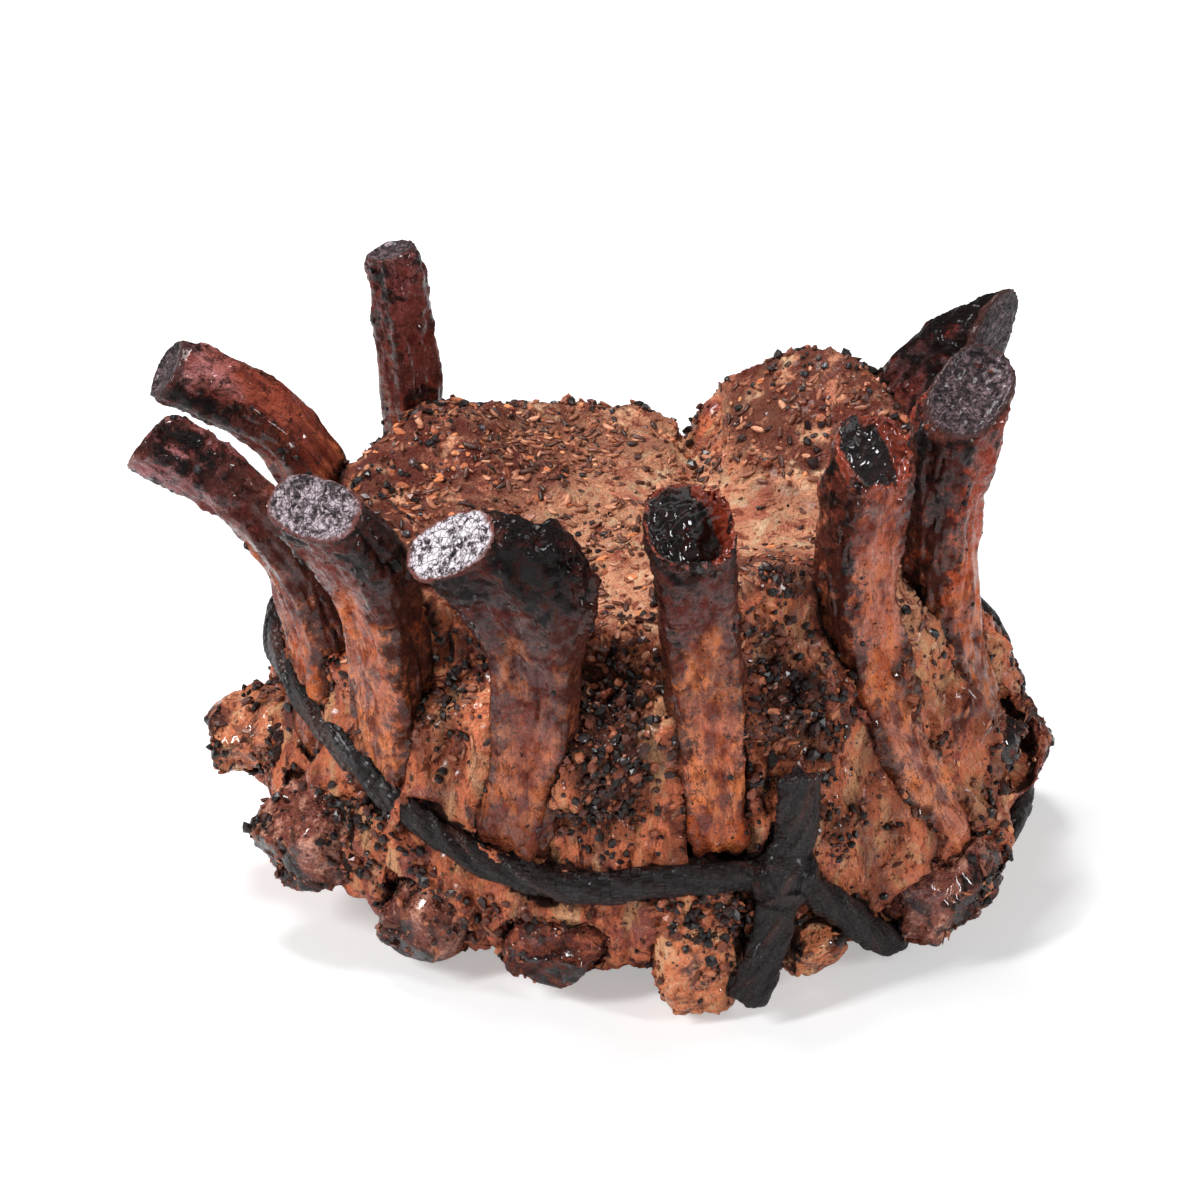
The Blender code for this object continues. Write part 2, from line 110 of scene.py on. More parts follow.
KNUCKLES = {
    "knuckle_1": Knuckle(-84, (66, 42), (102, 35)), "knuckle_2": Knuckle(-60, (66, 36), (97, 22)),
    "knuckle_3": Knuckle(-38, (62, 25), (88, 9.5)), "knuckle_4": Knuckle(-15, (62, 22), (86, 11.5)),
    "knuckle_5": Knuckle(9, (75, 33), (82, 1.5)), "knuckle_6": Knuckle(28.5, (62, 19), (86, 10)),
    "knuckle_7": Knuckle(53, (64, 23), (95, 14)), "knuckle_8": Knuckle(75.5, (64, 43), (90, 37)),
    "knuckle_9": Knuckle(103, (70, 24), (100, 14)), "knuckle_10": Knuckle(131, (62, 27), (88, 15)),
    "knuckle_11": Knuckle(157, (62, 28), (87, 17)), "knuckle_12": Knuckle(-160, (62, 30), (87, 18)),
    "knuckle_13": Knuckle(-134, (64, 32), (89, 21)), "knuckle_14": Knuckle(-109, (64, 36), (92, 27)),
}
TIE_ROUTE = [
    (-84, 86, 65), (-69, 85, 61), (-54, 84.5, 55), (-38, 84, 45), (-25, 84, 37.5), (-10, 84, 34.5),
    (8, 85, 38), (20, 85, 36), (29, 85, 27), (36, 86, 15.5), (45, 83, 6), (55, 78, 4.6),
    (65, 82, 8), (74, 91, 18), (88, 92, 25), (99, 92, 35), (110, 90, 46), (122, 86, 53),
    (136, 81, 56), (154, 78, 56), (172, 76.5, 56), (-166, 77, 58), (-146, 77, 61), (-124, 77.5, 64),
    (-103, 81, 68),
]
TAILS = [[(21, 86.5, 39), (23, 86, 50), (24, 84, 61)], [(20.5, 87, 32), (18, 89.5, 20), (15, 90.5, 7)]]


def ring_point(azimuth, reach, height):
    """The point at this azimuth in degrees, reach and height in millimetres, in metres."""
    turn = math.radians(azimuth)
    return Vector((reach * math.sin(turn), -reach * DEPTH_RATIO * math.cos(turn), height)) * MM


def ring_outward(azimuth):
    """The level direction that points straight out of the ring."""
    turn = math.radians(azimuth)
    return Vector((math.sin(turn), -math.cos(turn) / DEPTH_RATIO, 0)).normalized()


def azimuth_of(point):
    return math.degrees(math.atan2(point[0], -point[1] / DEPTH_RATIO))


def rib_axis(rib, share):
    """The middle of a bone at this share of its length."""
    foot, bend, tip = (ring_point(*place) for place in (rib.foot, rib.bend, rib.tip))
    pull = 2 * bend - (foot + tip) / 2
    return foot * (1 - share) ** 2 + pull * 2 * share * (1 - share) + tip * share**2


print("bones:", len(RIBS), "knuckles:", len(KNUCKLES), "tie points:", len(TIE_ROUTE))

# %% [markdown]
# ## Helpers for meshes
# The solids are fixed, so every piece starts as a merged copy of one. Its hard edges get a crease, so that
# a subdivision rounds the facets and keeps the sawn rims. A voxel remesh then gives an even skin that can
# carry relief. The relief is pushed along the normals: a noise is read at each point, in millimetres.

# %% Selecting, copying and applying


def make_active(*things):
    """Selects only these objects, the last one active."""
    bpy.ops.object.select_all(action="DESELECT")
    for thing in things:
        thing.select_set(True)
    bpy.context.view_layer.objects.active = things[-1]


def apply_step(thing, kind, **settings):
    """Adds a modifier, sets it and applies it."""
    step = thing.modifiers.new(kind.lower(), kind)
    for name, value in settings.items():
        setattr(step, name, value)
    make_active(thing)
    bpy.ops.object.modifier_apply(modifier=step.name)


def copy_of(node, label):
    """A merged copy of a solid, free of the solid's own material and normals."""
    thing = bpy.data.objects.new(label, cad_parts[node].data.copy())
    bpy.context.scene.collection.objects.link(thing)
    thing.data.materials.clear()
    make_active(thing)
    bpy.ops.mesh.customdata_custom_splitnormals_clear()
    bpy.ops.object.mode_set(mode="EDIT")
    bpy.ops.mesh.select_all(action="SELECT")
    bpy.ops.mesh.remove_doubles(threshold=2e-6)
    bpy.ops.mesh.select_mode(type="EDGE")
    bpy.ops.mesh.select_all(action="DESELECT")
    bpy.ops.mesh.edges_select_sharp(sharpness=math.radians(48))
    bpy.ops.transform.edge_crease(value=0.75)
    bpy.ops.mesh.select_mode(type="VERT")
    bpy.ops.object.mode_set(mode="OBJECT")
    return thing


def fine_skin(thing, voxel, rounds=6, levels=2):
    """An even, closed skin over the piece, with its facets rounded off."""
    apply_step(thing, "SUBSURF", levels=levels, render_levels=levels)
    apply_step(thing, "REMESH", mode="VOXEL", voxel_size=voxel * MM, use_smooth_shade=True)
    apply_step(thing, "SMOOTH", factor=0.5, iterations=rounds)
    return thing


print("helpers ready; quick run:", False)

# %% Reading and moving points


def points_of(thing):
    flat = np.empty(len(thing.data.vertices) * 3, np.float32)
    thing.data.vertices.foreach_get("co", flat)
    return flat.reshape(-1, 3).astype(float)


def normals_of(thing):
    flat = np.empty(len(thing.data.vertices) * 3, np.float32)
    thing.data.vertex_normals.foreach_get("vector", flat)
    return flat.reshape(-1, 3).astype(float)


def put_points(thing, points):
    """Moves the points, and keeps them inside the box of the solids."""
    inside = np.clip(points, np.array(CAD_LOW), np.array(CAD_HIGH))
    thing.data.vertices.foreach_set("co", inside.astype(np.float32).ravel())
    thing.data.update()


def push_out(thing, distance):
    """Moves each point along its normal by so many millimetres."""
    put_points(thing, points_of(thing) + normals_of(thing) * (np.asarray(distance) * MM)[:, None])


def paint(thing, name, values):
    """Stores one number, or three, at each point for the materials to read."""
    values = np.asarray(values, np.float32)
    kind, key = ("FLOAT", "value") if values.ndim == 1 else ("FLOAT_VECTOR", "vector")
    thing.data.attributes.new(name, kind, "POINT").data.foreach_set(key, values.ravel())


def value_noise(points, seed=0):
    """Smooth values from -1 to 1 on a lattice of step 1."""
    cell = np.floor(points).astype(np.int64)
    part = points - cell
    part = part * part * part * (part * (part * 6 - 15) + 10)
    total = np.zeros(len(points))
    for corner in range(8):
        step = np.array([corner & 1, corner >> 1 & 1, corner >> 2 & 1])
        key = (cell + step) @ np.array([73856093, 19349663, 83492791]) + seed * 97531
        key = (key ^ (key >> 13)) * 1274126177 & 0x7FFFFFFF
        key = (key ^ (key >> 15)) * 668265263 & 0x7FFFFFFF
        value = ((key ^ (key >> 14)) & 0xFFFF) / 32767.5 - 1
        total += value * np.prod(np.where(step, part, 1 - part), axis=1)
    return total


def rough(points_mm, size, seed=0, octaves=3):
    """Layered noise, about -1 to 1, whose largest lumps are this many millimetres across."""
    total, scale, share = 0.0, 1.0 / size, 1.0
    for octave in range(octaves):
        total = total + value_noise(points_mm * scale + 17.3 * octave, seed + octave) * share
        scale, share = scale * 2.1, share * 0.5
    return total / 1.4


print("noise sample:", np.round(rough(np.array([[1.0, 2, 3], [4, 5, 6]]), 5), 3))

# %% [markdown]
# ## How open each point is
# The finishes darken the deep places nearly to black, as painted shade. A few rays from each point against
# all the solids tell how much sky it sees. The rays start a little above the skin, because a facet of the
# solid can stand proud of a skin that sank between its corners. The finishes use the share of rays that got
# away.

# %% Openness by rays


def solids_tree(names):
    """These solids as one tree for rays and distances."""
    corners, faces, start = [], [], 0
    for node in (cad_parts[name] for name in names):
        corners.extend(v.co.copy() for v in node.data.vertices)
        faces.extend([start + i for i in face.vertices] for face in node.data.polygons)
        start = len(corners)
    return BVHTree.FromPolygons(corners, faces)


SOLIDS = solids_tree(list(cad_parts))
OVER_LARGE_FACETS, OVER_SMALL_FACETS = 3.2, 2.6  # how far above the skin the rays start, in mm


def openness(thing, rays=6, reach=22, lift=1.6):
    """0 where the point is buried and 1 where it sees only air."""
    places, outs = points_of(thing), normals_of(thing)
    draws = np.random.default_rng(5)
    free = np.zeros(len(places))
    spread = draws.normal(size=(rays, 3)) * 0.75
    spread[0] = 0
    for turn in range(rays):
        aims = outs + spread[turn]
        flip = np.einsum("ij,ij->i", aims, outs) < 0.15
        aims[flip] = outs[flip] * 1.2 + spread[turn] * 0.3
        starts = places + outs * lift * MM
        for number in range(len(places)):
            if SOLIDS.ray_cast(starts[number], aims[number], reach * MM)[0] is None:
                free[number] += 1
    return free / rays


def gap_to(thing, near, most=12):
    """Millimetres from each point to a tree or the nearest of these solids, and most where none is near."""
    tree = near if isinstance(near, BVHTree) else solids_tree(near)
    gaps = np.full(len(thing.data.vertices), float(most))
    for number, place in enumerate(points_of(thing)):
        reach = tree.find_nearest(place, most * MM)[3]
        if reach is not None:
            gaps[number] = reach / MM
    return gaps


print("ray test:", SOLIDS.ray_cast(Vector((0, 0, 0.3)), Vector((0, 0, -1)))[0])

# %% [markdown]
# ## The bones
# A rib bone is a flat bar that bends outwards, rough where the saw went through it. The relief has to
# follow the bend, so each point of a bone is given its place across, along and deep within it. Long thin
# noise in those numbers makes fibres, round noise makes lumps, and a crust grows towards the burnt end.
# The marrow is moved before the skin is made, so that its walls stay clean: flush in a dry bone, and a wet
# pit in the bone at the front.

# %% Places on a bone


def rib_frames(rib):
    """Middle, along, out and side at 121 shares of the bone, and the length up to each, in metres."""
    shares = np.linspace(0, 1, 121)
    middles, frames = [], []
    for share in shares:
        centre = rib_axis(rib, share)
        along = (rib_axis(rib, share + 0.01) - rib_axis(rib, share - 0.01)).normalized()
        out = ring_outward(azimuth_of(centre))
        out = (out - along * out.dot(along)).normalized()
        middles.append(centre)
        frames.append((along, out, along.cross(out)))
    middles = np.array(middles)
    steps = np.linalg.norm(np.diff(middles, axis=0), axis=1)
    return middles, np.array(frames), np.concatenate([[0], np.cumsum(steps)])


def bone_places(rib, points):
    """(across, along, deep) of each point, in millimetres, and the bone's length."""
    middles, frames, run = rib_frames(rib)
    reach = (points**2).sum(1)[:, None] - 2 * points @ middles.T + (middles**2).sum(1)
    near = reach.argmin(1)
    off = points - middles[near]
    along, out, side = (frames[near, i] for i in range(3))
    place = [np.einsum("ij,ij->i", off, side), run[near] + np.einsum("ij,ij->i", off, along),
             np.einsum("ij,ij->i", off, out)]
    return np.stack(place, 1) / MM, run[-1] / MM


def cut_places(rib, points):
    """How far above the saw cut each point is, in millimetres, and how far out: 0 middle, 1 rim."""
    middles, frames, _ = rib_frames(rib)
    off = (points - middles[-1]) / MM
    along, out, side = frames[-1]
    across, deep = off @ side, off @ out
    lean = deep * math.tan(math.radians(rib.cut_out)) + across * math.tan(math.radians(rib.cut_side))
    round_ = (np.abs(across) / (rib.head / 2)) ** 2.5 + (np.abs(deep) / (rib.thickness / 2)) ** 2.5
    return off @ along + lean, round_**0.4, np.array(along)


above, out_share, _ = cut_places(RIBS["rib_6"], np.array([rib_axis(RIBS["rib_6"], 1)]))
print("middle of the cut on rib_6:", above.round(2), out_share.round(2))

# %% [markdown]
# ## The meat
# The loin shows on top, between the bones and under them. Its top is a crust of fat and spice. Its walls are
# folds of muscle that hang from the rim, glossy where the fat ran and torn where it shrank. It clings to the
# bones: beside each one it climbs the bone's side in an uneven web. So the skin is first pulled out beside
# the bones and the knuckles, then made even again, and only then given folds, crags and grain. A smooth
# patch is left on the right of the top.

# %% Pulling the meat up the sides of the bones
MEAT_VOXEL = 1.15
MOST_PULL = 17  # in mm
TIE_ROOM = (1.0, 4.5)  # the pull grows from nothing to full between these distances from the tie, in mm

# how high the meat climbs beside each bone, in mm
WEB_TOPS = {"rib_1": 84, "rib_2": 86, "rib_3": 84, "rib_4": 78, "rib_5": 80, "rib_6": 84, "rib_7": 88, "rib_8": 92,
            "rib_9": 92}
meat = fine_skin(copy_of("meat", "crusted_meat"), 1.5, rounds=2, levels=1)
points = points_of(meat)
places = points / MM
level = places * [1, 1 / DEPTH_RATIO**2, 0]
level /= np.linalg.norm(level, axis=1)[:, None] + 1e-9
pull = np.zeros(len(points))
for number, (name, rib) in enumerate(RIBS.items()):
    beside, _ = bone_places(rib, points)
    off_side = np.abs(beside[:, 0]) - rib.shaft / 2
    wander = np.stack([beside[:, 0] * 0.5, beside[:, 1], np.full(len(points), 9.0 * number)], 1)
    hug = 0.78 + 0.75 * rough(wander, 12, number, 2)
    wanted = rib.thickness / 2 * hug - np.maximum(off_side, 0) * 0.65 - np.maximum(-off_side, 0) * 0.4
    reach = ramp_up(places[:, 2], 10, 30) * (1 - ramp_up(places[:, 2], WEB_TOPS[name] - 12, WEB_TOPS[name]))
    near = (off_side > -5) & (off_side < 11) & (np.abs(beside[:, 2]) < 16) & (places @ [0, 0, 1] > 8)
    pull = np.where(near, np.maximum(pull, (wanted - beside[:, 2]) * reach), pull)
    over_foot = (rib.thickness / 2 + 1.2) * ramp_up(-beside[:, 1], -7, 1)
    over_foot -= np.maximum(off_side, 0) * 0.7 + np.maximum(-beside[:, 1] - 5, 0) * 0.7
    near = (off_side < 9) & (np.abs(beside[:, 2]) < 24) & (np.abs(beside[:, 1]) < 15)
    pull = np.where(near, np.maximum(pull, over_foot - beside[:, 2]), pull)
lump_gap = gap_to(meat, list(KNUCKLES), 12)
pull = np.maximum(pull, 7.0 * np.exp(-((lump_gap / 4.5) ** 1.4)) * ramp_up(places[:, 2], 3, 9))
pull = np.clip(pull, 0, MOST_PULL) * ramp_up(gap_to(meat, ["tie"], 12), *TIE_ROOM)
put_points(meat, points + level * (pull * MM)[:, None])
apply_step(meat, "SMOOTH", factor=0.5, iterations=3)
apply_step(meat, "REMESH", mode="VOXEL", voxel_size=MEAT_VOXEL * MM, use_smooth_shade=True)
apply_step(meat, "SMOOTH", factor=0.5, iterations=3)
print("meat pulled out by up to", pull.max().round(1), "mm")

# %% Folds, crags and burnt places


def smooth_patch(points, breadth, depth):
    """1 in the middle of the smooth patch on the right of the top, falling to 0 over these millimetres."""
    return np.exp(-(((points[:, 0] - 24) / breadth) ** 2 + ((points[:, 1] + 3) / depth) ** 2))


places = points_of(meat) / MM
outs = normals_of(meat)
top = ramp_up(outs[:, 2], 0.35, 0.75) * ramp_up(places[:, 2], 78, 88)
calm = smooth_patch(places, 15, 17)
azimuths = np.degrees(np.arctan2(places[:, 0], -places[:, 1] / DEPTH_RATIO))

# where juice and crumbs burnt: azimuth, height, spread in both, strength
BURNT_PLACES = [
    (-6, 72, 9, 18, 1.0), (-6, 52, 6, 14, 0.5), (26, 74, 8, 18, 1.1), (-34, 74, 5, 8, 0.8), (32, 44, 4, 10, 0.6),
    (-44, 30, 10, 12, 0.5), (60, 36, 5, 14, 0.4), (88, 52, 6, 16, 0.5), (-86, 60, 7, 16, 0.6),
    (140, 70, 10, 14, 0.6), (-160, 66, 10, 14, 0.6), (173, 60, 5, 26, 0.9), (110, 40, 6, 12, 0.6),
    (-20, 22, 6, 6, 0.6), (15, 20, 5, 8, 0.5),
]
burnt_place = np.zeros(len(places))
for at, high, wide, tall, strength in BURNT_PLACES:
    turn = (azimuths - at + 180) % 360 - 180
    burnt_place += strength * np.exp(-((turn / wide) ** 2) - ((places[:, 2] - high) / tall) ** 2)
burnt_place = np.clip(burnt_place * (1 - top) + rough(places, 8, 71) * 0.35 - 0.08, 0, 1)

hanging = places * [1, 1, 0.3]
folds = rough(places, 14, 1) * 1.3 + rough(hanging, 8, 6, 2) * 1.9 * (1 - top)
crags = (np.abs(rough(places, 5, 2)) * 3.0 - 1.1) * (0.38 + 0.6 * burnt_place)
torn = ramp_up(rough(places, 16, 7), 0.0, 0.45) * (1 - top)
crags += (np.abs(rough(hanging, 4.5, 8)) * 3.2 - 1.0) * torn * 1.15
grain = rough(places, 2.4, 3, 2) * (0.34 + 0.4 * burnt_place + 0.34 * top)
strands = rough(places * [1, 1, 0.2], 2.4, 4, 2) * 0.4 * (1 - top)
foot = ramp_up(places[:, 2], 0.5, 5)
push_out(meat, (folds + (crags + grain) * (1 - 0.5 * calm) + strands) * foot)

# the edges that nearly touch a bone or a knuckle are drawn onto it, so that no even slit is left
MEAT_TOUCH = 2.2 * MM
touched = solids_tree([*RIBS, *KNUCKLES])
points = points_of(meat)
for number, place in enumerate(points):
    spot, _, _, gap = touched.find_nearest(place, MEAT_TOUCH)
    if spot is not None and gap > 1e-6:
        points[number] += (np.array(spot) - place) * (1 + 0.7 * MM / gap * (1 - gap / MEAT_TOUCH))
put_points(meat, points)
bone_gap, lump_gap = gap_to(meat, list(RIBS), 8), gap_to(meat, list(KNUCKLES), 8)
paint(meat, "burnt_place", burnt_place)
paint(meat, "bone_gap", np.minimum(bone_gap, lump_gap))
paint(meat, "top_crust", top)
paint(meat, "hang_place", hanging)
paint(meat, "open_air", openness(meat, rays=7, lift=OVER_LARGE_FACETS))
print("meat triangles:", sum(len(f.vertices) - 2 for f in meat.data.polygons))

# %% [markdown]
# ## Skins for the bones
# Every bone goes through the same steps. The marrow is sunk first, then the bone gets its skin, and its
# foot is bent inwards so that it dives into the meat. Ridges and fibres run lengthwise, lumps are round,
# and crust grows at the burnt end and where the meat lies close. The sawn face only gets pores.

# %% Skin and relief of each bone
BONE_VOXEL = 0.55
MEAT_TREE = BVHTree.FromPolygons(points_of(meat), [list(f.vertices) for f in meat.data.polygons])
bones = {}
for number, (name, rib) in enumerate(RIBS.items()):
    bone = copy_of(name, "bone_" + name[4:])
    points = points_of(bone)
    above, out_share, along = cut_places(rib, points)
    marrow = (out_share < 0.77) & (above > -5)
    side = rib_frames(rib)[1][-1, 2]
    slope = (points - np.array(rib_axis(rib, 1))) @ side / MM * (0.34 if rib.sink > 2 else 0)
    points[marrow] -= (along * (rib.sink + slope[:, None]) * MM)[marrow]
    put_points(bone, points)
    fine_skin(bone, BONE_VOXEL, rounds=4)
    places, _ = bone_places(rib, points_of(bone))
    dive = rib.thickness * 0.22 * ramp_up(-places[:, 1], -9, 1)
    put_points(bone, points_of(bone) - np.array(ring_outward(rib.foot[0])) * (dive * MM)[:, None])

    places, length = bone_places(rib, points_of(bone))
    above, out_share, _ = cut_places(rib, points_of(bone))
    sawn = ramp_up(above, -2.2 - max(rib.sink, 0) * 2.2, -0.9) * (1 - ramp_up(out_share, 0.98, 1.12))
    meat_gap = gap_to(bone, MEAT_TREE, 9)
    share = places[:, 1] / length
    burnt = ramp_up(share, 0.5, 0.95)
    flap = ramp_up(places[:, 0], rib.head / 2 + 0.5, rib.head / 2 + 5)
    fibres = rough(places * [1, 0.12, 1], 1.5, number, 2) * 0.16
    lumps = rough(places * [1, 0.5, 1], 9, number + 20) * 1.3
    ridges = np.abs(rough(places * [1, 0.22, 1], 4.5, number + 50, 3)) * 1.7 - 0.6
    stuck = ramp_up(-meat_gap + rough(places, 6, number + 30) * 2.0, -2.2, 0.2)
    crust = np.maximum(rough(places, 2.6, number + 40), -0.2) * (0.12 + 0.7 * burnt + 1.0 * stuck)
    ragged = rough(places, 3.5, number + 60) * 1.6 * flap
    wet = name in ("rib_6", "rib_7")
    pores = -np.abs(rough(places, 3.2 if wet else 1.6, number + 80, 3)) * (2.6 if wet else 0.5)
    wide, deep = np.abs(places[:, 0]) / (rib.shaft / 2), places[:, 2] / (rib.thickness / 2)
    corner = 1 - np.abs(wide**2 - deep**2) / (wide**2 + deep**2 + 1e-6)
    middle = ramp_up(share, 0.02, 0.15) * (1 - ramp_up(share, 0.6, 0.85))
    broken = ramp_up(rough(places * [0.5, 0.35, 1], 14, number + 90), -0.5, 0.3)
    groove = np.exp(-((wide / 0.4) ** 2)) * (deep > 0) * broken
    shape = corner**2 * 0.9 * (1 - 0.6 * ramp_up(share, 0.8, 0.95)) - groove * 0.9 * middle
    push_out(bone, (shape + fibres + lumps + ridges + crust * 1.1 + ragged) * (1 - sawn) + pores * sawn)
    places, length = bone_places(rib, points_of(bone))
    paint(bone, "bone_place", places)
    paint(bone, "bone_share", places[:, 1] / length)
    paint(bone, "sawn_share", sawn)
    paint(bone, "cut_reach", out_share)
    paint(bone, "stuck_meat", stuck)
    paint(bone, "edge_reach", np.abs(places[:, 0]) / (rib.shaft / 2))
    paint(bone, "open_air", openness(bone, rays=6, lift=OVER_LARGE_FACETS))
    bones[name] = bone
print("bone points:", sum(len(b.data.vertices) for b in bones.values()))

# %% [markdown]
# ## The knuckles
# Under each rib the split backbone ends in a lump of bone wrapped in crisp meat. They are short, so broad
# bends and crags on two scales are enough, with smooth greasy places left between. Where a lump nearly
# meets its rib, its skin is drawn over to it, as the dried meat is.

# %% Skin and relief of each knuckle
KNUCKLE_VOXEL = 0.62
LUMP_TOUCH = 6 * MM
knuckles = {}
RIB_TREE = solids_tree(list(RIBS))
for number, (name, knuckle) in enumerate(KNUCKLES.items()):
    lump = fine_skin(copy_of(name, "backbone_end_" + name[8:]), KNUCKLE_VOXEL, rounds=5)
    places = points_of(lump) / MM
    start, end = (ring_point(knuckle.azimuth, *spot) for spot in (knuckle.inner, knuckle.outer))
    line = np.array(end - start) / MM
    share = (places - np.array(start) / MM) @ line / (line @ line)
    craggy = ramp_up(rough(places, 11, 5), -0.35, 0.3)
    bends = rough(places, 12, number + 60, 2) * 1.6
    crags = np.abs(rough(places, 5.5, number + 3)) * 2.1 - 0.7
    grit = rough(places, 1.9, number + 30, 2) * 0.5
    push_out(lump, bends + crags * (0.25 + 0.75 * craggy) + grit * craggy)
    points = points_of(lump)
    for spot, place in enumerate(points):
        found, _, _, gap = RIB_TREE.find_nearest(place, LUMP_TOUCH)
        if found is not None and gap > 1e-6:
            points[spot] += (np.array(found) - place) * (1 + 1.2 * MM / gap) * (1 - gap / LUMP_TOUCH) ** 0.5
    put_points(lump, points)
    paint(lump, "out_share", share)
    paint(lump, "top_crust", np.zeros(len(places)))
    paint(lump, "burnt_place", np.clip(rough(places, 9, number + 70) * 0.7 - 0.05, 0, 1))
    paint(lump, "bone_gap", np.minimum(gap_to(lump, MEAT_TREE, 8), gap_to(lump, RIB_TREE, 8)))
    paint(lump, "open_air", openness(lump, rays=5, lift=OVER_SMALL_FACETS))
    knuckles[name] = lump
print("knuckle points:", sum(len(k.data.vertices) for k in knuckles.values()))

# %% [markdown]
# ## The tie
# The tie is a broad strip of casing, dried hard and black. Dried casing shrinks into creases along its
# length, and the creases wind slowly round it because it was twisted when it was drawn tight. Each point
# gets its run along the strip and its angle round it, and the creases are noise in those two.

# %% Skin and creases of the tie


def through(points, share, closed=False):
    """The point at this share of a smooth curve through the points."""
    count = len(points)
    spans = count if closed else count - 1
    at = min(share * spans, spans - 1e-9)
    first = int(at)
    t = at - first
    a, b, c, d = (
        points[(first + step) % count] if closed else points[max(0, min(count - 1, first + step))]
        for step in (-1, 0, 1, 2)
    )
    return 0.5 * (2 * b + (c - a) * t + (2 * a - 5 * b + 4 * c - d) * t * t + (3 * b - a - 3 * c + d) * t**3)


route = [ring_point(*place) for place in TIE_ROUTE]
lines = [[through(route, n / 300, True) for n in range(301)]]
lines += [[through([ring_point(*p) for p in tail], n / 30) for n in range(31)] for tail in TAILS]
tie = fine_skin(copy_of("tie", "twisted_tie"), 0.5, rounds=5)
places = points_of(tie)
best = np.full(len(places), 1e9)
strip = np.zeros((len(places), 3))
for number, line in enumerate(lines):
    middles = np.array(line)
    ahead = np.gradient(middles, axis=0)
    ahead /= np.linalg.norm(ahead, axis=1)[:, None]
    run = np.concatenate([[0], np.cumsum(np.linalg.norm(np.diff(middles, axis=0), axis=1))])
    reach = (places**2).sum(1)[:, None] - 2 * places @ middles.T + (middles**2).sum(1)
    near = reach.argmin(1)
    closer = reach[np.arange(len(places)), near] < best
    best = np.where(closer, reach[np.arange(len(places)), near], best)
    off = (places - middles[near]) / MM
    away = np.array([ring_outward(azimuth_of(p)) for p in middles])[near]
    over = np.cross(ahead[near], away)
    flat = np.stack([np.einsum("ij,ij->i", off, over), run[near] / MM, np.einsum("ij,ij->i", off, away)], 1)
    strip[closer] = flat[closer] + [0, 300 * number, 0]
turn = strip[:, 1] * 0.16
twisted = np.stack([
    strip[:, 0] * np.cos(turn) - strip[:, 2] * np.sin(turn), strip[:, 1] * 0.12,
    strip[:, 0] * np.sin(turn) + strip[:, 2] * np.cos(turn)], 1)
creases = rough(twisted, 2.3, 9, 2) * 1.0 + rough(twisted, 0.9, 10, 1) * 0.22
push_out(tie, creases + 0.35 + rough(places / MM, 6, 11, 2) * 0.4)
paint(tie, "strip_place", twisted)
paint(tie, "open_air", openness(tie, rays=3))
print("tie points:", len(places))

# %% [markdown]
# ## Spices and crumbs
# The crust holds caraway, cracked pepper, flakes of dried onion and burnt crumbs. One of each kind is
# modelled from a primitive, bent or knocked about, and then laid over the skin many times as one joined
# mesh. Where they lie follows the roast: seeds on top, pepper on the rims and bones, crumbs in the folds.

# %% One of each kind


def modelled(label, how):
    """Runs the modelling steps at the origin, in millimetres, and returns the shape's arrays."""
    bpy.ops.object.select_all(action="DESELECT")
    how()
    shape = bpy.context.view_layer.objects.active
    shape.name = label
    shape.data.transform(shape.matrix_world)
    corners = np.array([v.co for v in shape.data.vertices])
    faces = [list(face.vertices) for face in shape.data.polygons]
    mesh = shape.data
    bpy.data.objects.remove(shape)
    bpy.data.meshes.remove(mesh)
    return corners, faces


def caraway():
    """A flattened seed with drawn-out ends, bent like a crescent."""
    bpy.ops.mesh.primitive_uv_sphere_add(segments=7, ring_count=6, radius=1)
    bpy.ops.object.mode_set(mode="EDIT")
    bpy.ops.mesh.select_all(action="SELECT")
    bpy.ops.transform.resize(value=(0.6, 1.0, 2.2))
    bpy.ops.object.mode_set(mode="OBJECT")
    seed = bpy.context.view_layer.objects.active
    for vert in seed.data.vertices:
        vert.co.x += 0.35 * (vert.co.z / 2.2) ** 2
    bpy.ops.transform.rotate(value=math.pi / 2, orient_axis="Y", center_override=(0, 0, 0))


def chip(seed, size, cuts=1, knock=0.28):
    """An angular chip: an icosphere squashed and knocked about."""

    def made():
        bpy.ops.mesh.primitive_ico_sphere_add(subdivisions=cuts, radius=1)
        bpy.ops.object.mode_set(mode="EDIT")
        bpy.ops.mesh.select_all(action="SELECT")
        bpy.ops.transform.vertex_random(offset=knock, uniform=0.1, normal=0.4, seed=seed)
        bpy.ops.transform.resize(value=size)
        bpy.ops.object.mode_set(mode="OBJECT")

    return made


KINDS = {
    "caraway_seed": [modelled("caraway_seed", caraway)],
    "pepper_chip": [modelled("pepper_chip", chip(s, (1, 0.8, 0.62), 2, 0.22)) for s in (1, 2, 3)],
    "onion_flake": [modelled("onion_flake", chip(s, (1, 0.7, 0.3), 2, 0.3)) for s in (4, 5)],
    "burnt_crumb": [modelled("burnt_crumb", chip(s, (1, 0.85, 0.7), 1, 0.35)) for s in (6, 7, 8)],
    "wet_grain": [modelled("wet_grain", chip(s, (1, 0.8, 0.8), 2, 0.25)) for s in (12, 13)],
    "shred": [modelled("shred", chip(s, (1.9, 0.45, 0.22), 2, 0.4)) for s in (9, 10)],
}
print({kind: [len(shape[1]) for shape in shapes] for kind, shapes in KINDS.items()})

# %% Laying a kind over a skin


